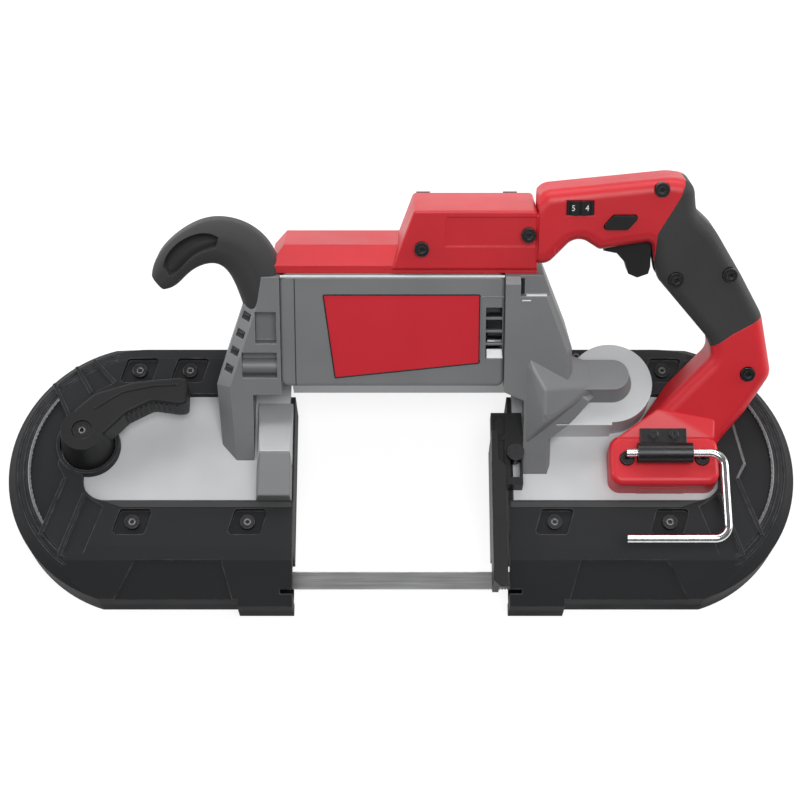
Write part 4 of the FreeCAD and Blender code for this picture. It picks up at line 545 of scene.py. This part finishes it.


# the lighter rings are a painted highlight, standing in for the light caught by the rims of the guard and lever
# screws
socketHighlightLook = {"colour": (0.4, 0.4, 0.41), "edgeColour": (0.8, 0.8, 0.8), "edge": 0.3,
              "stretch": (900, 900, 300), "bump": 0.1, "rough": (0.22, 0.4)}
socketHighlight = groundSteel("socket painted highlight", socketHighlightLook)
darkRing = finishes["black_screw"]
clipSocket = {"Ring Radius": 2.6 * mm, "Hex Radius": 1.3 * mm, "Ring Depth": 0.6 * mm, "Sink": -0.6 * mm}
screwDress = {
    "guard_screws": ("frame", socketHighlight, {}),
    "handle_screws": ("frame", darkRing, {}),
    "lever_screw": ("lever", socketHighlight, {}),
    "hook_clip_screws": ("frame", darkRing, clipSocket),
}


def dressScrews(dress):
    for node, (body, finish, changes) in dress.items():
        flat, leaning = screwTops(node)
        for kind, spots, tilt in (("Flat", flat, 0.0), ("Leaning", leaning, tiltAngle)):
            if spots:
                name = node.replace("_", "") + kind + "Sockets"
                mesh = hexSocket.grow(name, pointSeed(name, spots), finish, {**changes, "Tilt": tilt})
                piece(name, mesh, body, "black_screw")
    name = "guardScrewKnurls"
    spots = screwTops("guard_screws")[0]
    piece(name, knurl.grow(name, pointSeed(name, spots), darkRing), "frame", "black_screw")


dressScrews(screwDress)
print("screws dressed")


# trim

leverLook = {"rib": [(-196.5, 28.8), (-178.7, 40.6), (-159.2, 44.6), (-143.9, 45.3)], "ribLevel": 69.9,
             "radius": 0.9, "corner": 30.0,
             "teeth": [(-143.5, 32.4), (-159.9, 34.3), (-175.8, 25.9)], "toothLevel": 60.0, "toothCount": 11}


def dressLever(look):
    rib = [deck(x, y, look["ribLevel"]) for x, y in look["rib"]]
    beadPiece("leverRib", [rib], "lever", "guard_plastic", look)
    edge = [deck(x, y, look["toothLevel"]) for x, y in look["teeth"]]
    seed = lineSeed("leverTeeth", [edge])
    mesh = gripTooth.grow("leverTeeth", seed, finishes["black_plastic"], {"Teeth": look["toothCount"]})
    piece("leverTeeth", mesh, "lever", "black_plastic")


dressLever(leverLook)
print("lever dressed")


# the inside points are shares of the guard's radius, measured from the wheel's middle
guardLook = {"wheelX": 167.7, "guardRadius": 89.0, "level": 41.6, "radius": 1.15, "corner": 0.1,
             "arcRadius": 73.0, "arcFrom": -33.0, "arcTo": 39.5, "arcSteps": 28,
             "insideShares": [(0.681, 0.638), (0.543, 0.357), (0.616, 0.011), (0.557, -0.101),
                              (0.709, -0.53)],
             # the lips' lighter colour is a painted highlight, standing in for the light the moulding's bevelled
             # edges catch
             "polish": {"colour": (0.13, 0.131, 0.134), "edgeColour": (0.3, 0.3, 0.3), "edge": 0.4,
                        "mottle": 25, "grain": 1500, "bump": 0.1, "rough": (0.2, 0.34), "wear": 0.5,
                        "specular": 0.7}}


def dressGuards(look):
    middle = look["wheelX"]
    arc = []
    for i in range(look["arcSteps"] + 1):
        degrees = look["arcFrom"] + (look["arcTo"] - look["arcFrom"]) * i / look["arcSteps"]
        angle = math.radians(degrees)
        arc.append((middle + look["arcRadius"] * math.cos(angle), look["arcRadius"] * math.sin(angle)))
    inside = [(middle + a * look["guardRadius"], b * look["guardRadius"]) for a, b in look["insideShares"]]
    mirrored = [(-x, y) for x, y in arc]
    lines = [[deck(x, y, look["level"]) for x, y in line] for line in (arc, inside, mirrored)]
    # painted highlight: the lip beads take a lighter finish than the guards
    polish = mouldedPlastic("guard lip painted highlight", look["polish"])
    beadPiece("guardLips", lines, "frame", "guard_plastic", look, finish=polish)


dressGuards(guardLook)
print("guards dressed")


# lines on the housing and the gear case, drawn on the tilted faces
housingLook = {
    "labelRim": {"line": [(-49.4, 139.3), (50.0, 139.3), (50.0, 93.95), (-42.4, 84.0)], "level": 23.9,
                 "radius": 0.45, "slot": "black_plastic", "closed": True},
    # painted highlight: a light bead along the housing's top edge stands in for the light on that edge
    "coverSillHighlight": {"line": [(-76.5, 151.2), (65.6, 151.2)], "level": 23.6, "radius": 1.0,
                  "slot": "plate_metal"},
    "housingSeam": {"line": [(-67.5, 79.0), (-67.5, 149.8)], "level": 23.95, "radius": 0.3,
                    "slot": "black_plastic"},
    "ventFrame": {"line": [(50.6, 96.3), (50.6, 138.0), (65.4, 138.0)], "level": 23.9, "radius": 0.55,
                  "slot": "housing_metal"},
    # painted highlight: light beads on the gear case's ledge and step stand in for the light on those edges
    "caseLedgeHighlight": {"line": [(79.0, 140.0), (92.0, 140.0)], "level": 28.0, "radius": 1.1,
                  "slot": "plate_metal"},
    "caseStepHighlight": {"line": [(76.4, 137.2), (81.9, 137.2)], "level": 29.8, "radius": 0.6,
                 "slot": "plate_metal"},
    "caseShade": {"line": [(77.0, 138.8), (77.0, 150.2)], "level": 23.0, "radius": 1.3,
                  "slot": "black_plastic"},
}
housingCorner = 0.8


def dressHousing(rows):
    for name, look in rows.items():
        line = [cutting(x, u, look["level"]) for x, u in look["line"]]
        sizes = {"radius": look["radius"], "corner": housingCorner}
        beadPiece(name, [line], "frame", look["slot"], sizes, look.get("closed", False))


dressHousing(housingLook)
print("housing dressed")


dialLook = {"x": 111.5, "u": 196.0, "w": 7.0, "radius": 20.55, "step": 24.0, "size": 5.2, "deep": 0.05,
            "numbers": 6, "front": 4.5,
            "paint": {"chips": 900, "detail": 4.0, "rough": (0.4, 0.6),
                      "stops": [(0.25, (0.5, 0.5, 0.49)), (0.45, (0.82, 0.82, 0.8))]}}


def dialPaint(look):
    made = Finish("dial paint")
    chips = made.noise(look["chips"], look["detail"])
    made.give("Base Color", made.ramp(chips, look["stops"]))
    made.give("Roughness", made.spread(chips, *look["rough"]))
    return made.material


def numberMesh(number, look):
    # one flat number at the origin
    words = bpy.data.curves.new("number", "FONT")
    words.body = str(number)
    words.size = look["size"] * mm
    words.extrude = look["deep"] * mm
    words.align_x = "CENTER"
    words.align_y = "CENTER"
    holder = addToScene("number", words)
    graph = bpy.context.evaluated_depsgraph_get()
    mesh = bpy.data.meshes.new_from_object(holder.evaluated_get(graph))
    bpy.data.objects.remove(holder)
    return mesh


def dressDial(look):
    # plain numbers round the dial's rim
    whole = bmesh.new()
    for number in range(1, look["numbers"] + 1):
        flat = numberMesh(number, look)
        angle = math.radians((look["front"] - number) * look["step"])
        across = look["x"] + look["radius"] * math.sin(angle)
        out = look["w"] + look["radius"] * math.cos(angle)
        place = Matrix.Translation((across * mm, look["u"] * mm, out * mm))
        flat.transform(tiltTurn @ place @ Matrix.Rotation(angle, 4, "Y"))
        whole.from_mesh(flat)
        bpy.data.meshes.remove(flat)
    mesh = bpy.data.meshes.new("dialNumbers")
    bmesh.ops.remove_doubles(whole, verts=whole.verts, dist=weldGap["numbers"])
    bmesh.ops.recalc_face_normals(whole, faces=whole.faces)
    whole.to_mesh(mesh)
    whole.free()
    piece("dialNumbers", mesh, "dial", "plate_metal", dialPaint(look["paint"]))


dressDial(dialLook)
print("dial dressed")


shoeLook = {"frames": [[(60.4, 19.0), (66.6, 19.0), (66.6, 31.0), (60.4, 31.0)],
                       [(60.4, -1.0), (66.6, -1.0), (66.6, 15.5), (60.4, 15.5)]],
            "level": 48.3, "radius": 0.5, "corner": 0.8}


def dressShoe(look):
    lines = [[deck(x, y, look["level"]) for x, y in line] for line in look["frames"]]
    beadPiece("shoeFrames", lines, "shoe", "black_plastic", look, closed=True)


dressShoe(shoeLook)
print("shoe dressed")


# cast and moulded forms with flat faces

hullWork = {"flatAngle": 2.0, "segments": 2, "profile": 0.5}


def hullPiece(name, points, body, slotName, soft, finish=None):
    # closed faceted form round a few points, with softened edges
    work = bmesh.new()
    for point in points:
        work.verts.new(point)
    grown = bmesh.ops.convex_hull(work, input=work.verts)
    left = grown["geom_interior"] + grown["geom_unused"]
    spare = {item for item in left if isinstance(item, bmesh.types.BMVert)}
    bmesh.ops.delete(work, geom=list(spare), context="VERTS")
    flat = math.radians(hullWork["flatAngle"])
    bmesh.ops.dissolve_limit(work, angle_limit=flat, verts=work.verts, edges=work.edges)
    bmesh.ops.bevel(work, geom=list(work.edges), offset=soft * mm, segments=hullWork["segments"],
                    profile=hullWork["profile"], affect="EDGES", clamp_overlap=True)
    bmesh.ops.remove_doubles(work, verts=work.verts, dist=weldGap["forms"])
    bmesh.ops.recalc_face_normals(work, faces=work.faces)
    mesh = bpy.data.meshes.new(name)
    work.to_mesh(mesh)
    work.free()
    piece(name, mesh, body, slotName, finish)


caseLook = {"start": [(80.0, 12.0), (80.0, 58.0)], "startLevel": 29.5, "soft": 1.2,
            "leg": [(92.0, 19.4, 68.5), (92.0, 37.6, 79.6), (92.0, 68.2, 79.6), (92.0, 19.4, 36.2),
                    (92.0, 72.4, 36.2)],
            "end": [(121.6, 39.4, 68.4), (121.6, 42.7, 72.6), (121.6, 60.2, 72.6), (121.6, 39.4, 36.2),
                    (121.6, 63.2, 36.2)]}


def onTilt(x, y, w):
    # deck point straight in front of a level of the tilted drawing
    u = (y + w * sinTilt) / cosTilt
    return cutting(x, u, w)


def buildCaseBulge(look):
    points = [onTilt(x, y, look["startLevel"]) for x, y in look["start"]]
    points += [deck(*spot) for spot in look["leg"] + look["end"]]
    hullPiece("caseBulge", points, "frame", "housing_metal", look["soft"])


buildCaseBulge(caseLook)

bridgeLook = {"top": [(137.0, 13.0, 55.6), (202.0, 13.0, 55.6), (165.4, 32.6, 61.4), (203.0, 27.0, 56.6)],
              "deep": 9.0, "soft": 1.5,
              "apron": ((152.0, 183.0), (-17.35, -16.5), (36.2, 48.0)), "apronSoft": 0.2}


def boxPoints(xs, ys, zs, side=1):
    return [deck(side * x, y, z) for x in xs for y in ys for z in zs]


def buildFootBridge(look):
    points = [deck(x, y, z) for x, y, z in look["top"]]
    points += [deck(x, y, z - look["deep"]) for x, y, z in look["top"]]
    hullPiece("footBridge", points, "frame", "red_plastic", look["soft"])
    hullPiece("footApron", boxPoints(*look["apron"]), "frame", "red_plastic", look["apronSoft"])


buildFootBridge(bridgeLook)

postLook = {"base": (-94.0, -70.7), "top": (-90.3, -70.7), "floor": 36.2, "high": 65.0, "soft": 0.7,
            "face": [(-24.0, 36.2), (-24.0, 52.5), (1.3, 65.0), (1.3, 36.2)],
            "ramp": [(1.6, 65.0), (45.4, 36.2), (1.6, 36.2)]}


def buildPostCaps(look):
    # the post narrows from its base to its top
    # painted shade: the post's face takes the darker housing finish, standing in for its shade, while its ramp
    # keeps the plate finish of the same casting
    for name, key, slotName in (("postShadedFace", "face", "housing_metal"), ("postRamp", "ramp", "plate_metal")):
        points = []
        for y, z in look[key]:
            rise = (z - look["floor"]) / (look["high"] - look["floor"])
            points += [deck(low + (high - low) * rise, y, z) for low, high in zip(look["base"], look["top"])]
        hullPiece(name, points, "frame", slotName, look["soft"])


buildPostCaps(postLook)

flangeLook = {"x": (58.4, 67.4), "y": (-84.0, 0.0), "z": (50.2, 54.3), "cut": 4.0, "soft": 0.6}


def buildShoeFlange(look):
    left, right = look["x"]
    low, high = look["y"]
    cut = look["cut"]
    outline = [(left, low + cut), (left + cut, low), (right, low), (right, high - cut), (right - cut, high),
               (left, high)]
    points = [deck(x, y, z) for z in look["z"] for x, y in outline]
    hullPiece("shoeFlange", points, "shoe", "black_plastic", look["soft"])


buildShoeFlange(flangeLook)

ventLook = {"x": (54.6, 65.0), "soft": 0.2,
            "line": [(97.2, 24.3), (102.8, 21.7), (102.8, 20.7), (97.2, 20.7)]}


def buildVentSill(look):
    # the sill is a real ledge; its light plate finish on the housing is partly a painted highlight for the light
    # on its upward face
    points = [cutting(x, u, w) for x in look["x"] for u, w in look["line"]]
    hullPiece("ventSill", points, "frame", "plate_metal", look["soft"])


buildVentSill(ventLook)

openingLook = {"x": (70.5, 180.0), "soft": 0.3,
               "line": [(-23.7, 38.0), (-23.7, 40.6), (-24.8, 42.5), (-28.4, 42.4), (-28.6, 41.6)],
               "tip": [(192.0, -23.7, 38.0), (192.0, -23.7, 40.6), (192.0, -24.0, 42.1)],
               # lighter than the guards, a painted highlight
               "edge": {"colour": (0.05, 0.0505, 0.052), "edgeColour": (0.2, 0.2, 0.2), "edge": 0.4,
                        "mottle": 14, "grain": 1500, "bump": 0.2, "rough": (0.35, 0.5), "wear": 0.5,
                        "specular": 0.2}}


def buildOpeningLips(look):
    # painted highlight: the lower edge of the openings that show the plate takes a lighter finish, standing in for
    # the light its chamfer catches
    openingHighlight = mouldedPlastic("opening edge painted highlight", look["edge"])
    for name, side in (("leftOpeningLip", -1), ("rightOpeningLip", 1)):
        points = [deck(side * x, y, z) for x in look["x"] for y, z in look["line"]]
        points += [deck(side * x, y, z) for x, y, z in look["tip"]]
        hullPiece(name, points, "frame", "guard_plastic", look["soft"], openingHighlight)


buildOpeningLips(openingLook)

rootLook = {"cover": (84.6, [(160.4, 21.1), (190.5, 21.1), (160.4, 12.0), (190.5, 12.0)]),
            "handle": (97.0, [(166.0, 26.15), (190.5, 26.15), (166.0, 18.0), (190.5, 18.0)]), "soft": 1.0}


def buildRootBridge(look):
    # moulded run from the top cover into the handle
    points = []
    for key in ("cover", "handle"):
        x, line = look[key]
        points += [cutting(x, u, w) for u, w in line]
    hullPiece("rootBridge", points, "frame", "red_plastic", look["soft"])


buildRootBridge(rootLook)

trayLook = {"x": (69.9, 84.0), "y": (-80.0, -67.0), "z": (0.5, 2.0), "soft": 0.2}


def buildBladeTrays(look):
    # painted shade: dark sheets close the slots where the band leaves the guards, standing in for the shade seen
    # through them
    for name, side in (("leftBladeTray", -1), ("rightBladeTray", 1)):
        points = boxPoints(look["x"], look["y"], look["z"], side)
        hullPiece(name, points, "frame", "guard_plastic", look["soft"])


buildBladeTrays(trayLook)
print("forms built")


springLook = {"travel": 5.0, "smooth": 40.0}


def buildSpring(look):
    # a smooth merged copy of the spring takes the place of the CAD spring
    work = bmesh.new()
    work.from_mesh(nodes["tension_spring"].data)
    bmesh.ops.remove_doubles(work, verts=work.verts, dist=weldGap["forms"])
    bmesh.ops.recalc_face_normals(work, faces=work.faces)
    mesh = bpy.data.meshes.new("tensionSpring")
    work.to_mesh(mesh)
    work.free()
    mesh.shade_smooth()
    mesh.set_sharp_from_angle(angle=math.radians(look["smooth"]))
    spring = piece("tensionSpring", mesh, "frame", "shaft_steel")
    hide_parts("tension_spring")
    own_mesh(spring)


buildSpring(springLook)
print("spring built")


# studio

studio = {"target": (-0.66, 47.7, 36.0), "towards": (0.0, -0.358, 0.934), "distance": 1250.0, "lens": 85.23,
          "sensor": 36.0, "farthest": 20000.0, "floorColour": (0.3, 0.3, 0.3), "floorLift": 0.8,
          "floorHalf": 6000.0, "floorRough": 0.9, "floorSpecular": 0.1, "fibre": 60, "fibreDetail": 4.0,
          "fibreShades": (0.99, 1.0), "sky": 0.17, "skyColour": (1, 1, 1, 1)}
lamps = {  # metres and watts
    "topLamp": {"place": (0.0, 1.25, 1.05), "size": (2.0, 0.9), "power": 17.0},
    "frontLamp": {"place": (0.15, -0.5, 2.0), "size": (1.2, 0.9), "power": 25.0},
    "leftLamp": {"place": (-1.4, 0.35, 0.5), "size": (0.7, 1.0), "power": 9.0},
    "rightLamp": {"place": (1.4, 0.35, 0.5), "size": (0.7, 1.0), "power": 9.0},
}


def facing(direction):
    # turn of a lamp or camera that looks back along a direction
    return direction.to_track_quat("Z", "Y").to_euler()


def paperFloor(look):
    # white to the eye, and it still takes the shadow
    paper = Finish("studio paper")
    paper.give("Roughness", look["floorRough"])
    paper.give("Specular IOR Level", look["floorSpecular"])
    fibre = paper.noise(look["fibre"], look["fibreDetail"])
    paper.give("Base Color", paper.shades(fibre, look["floorColour"], *look["fibreShades"]))
    path = paper.node("ShaderNodeLightPath").outputs
    mirrored = paper.maths("MAXIMUM", path["Is Glossy Ray"], path["Is Transmission Ray"])
    seen = paper.maths("MAXIMUM", path["Is Camera Ray"], mirrored)
    glow = paper.node("ShaderNodeEmission", {"Strength": paper.maths("MULTIPLY", seen, look["floorLift"])})
    both = paper.node("ShaderNodeAddShader", {0: paper.bsdf.outputs["BSDF"], 1: glow.outputs["Emission"]})
    paper.link(both.outputs["Shader"], paper.tree.nodes["Material Output"].inputs["Surface"])
    return paper.material


def buildCamera(look):
    towards = Vector(look["towards"]).normalized()
    cam = bpy.data.cameras.new("studioCamera")
    cam.lens = look["lens"]
    cam.sensor_width = look["sensor"]
    cam.clip_end = look["farthest"] * mm
    shooter = addToScene("studioCamera", cam)
    shooter.location = deck(*look["target"]) + towards * look["distance"] * mm
    shooter.rotation_euler = facing(towards)
    bpy.context.scene.camera = shooter


def buildFloor(look):
    half = look["floorHalf"] * mm
    mesh = bpy.data.meshes.new("studioFloor")
    corners = [(-half, -half, 0), (half, -half, 0), (half, half, 0), (-half, half, 0)]
    mesh.from_pydata(corners, [], [(0, 1, 2, 3)])
    mesh.materials.append(paperFloor(look))
    floor = addToScene("studioFloor", mesh)


def buildLamps(rows, target):
    for name, look in rows.items():
        data = bpy.data.lights.new(name, "AREA")
        data.shape = "RECTANGLE"
        data.size, data.size_y = look["size"]
        data.energy = look["power"]
        lamp = addToScene(name, data)
        lamp.location = look["place"]
        lamp.rotation_euler = facing(lamp.location - deck(*target))


def buildSky(look):
    world = bpy.data.worlds.new("studioSky")
    world.use_nodes = True
    bpy.context.scene.world = world
    sky = world.node_tree.nodes["Background"].inputs
    sky["Color"].default_value = look["skyColour"]
    sky["Strength"].default_value = look["sky"]


buildCamera(studio)
buildFloor(studio)
buildLamps(lamps, studio["target"])
buildSky(studio)
bpy.context.scene.view_settings.view_transform = "Standard"
print("studio ready")
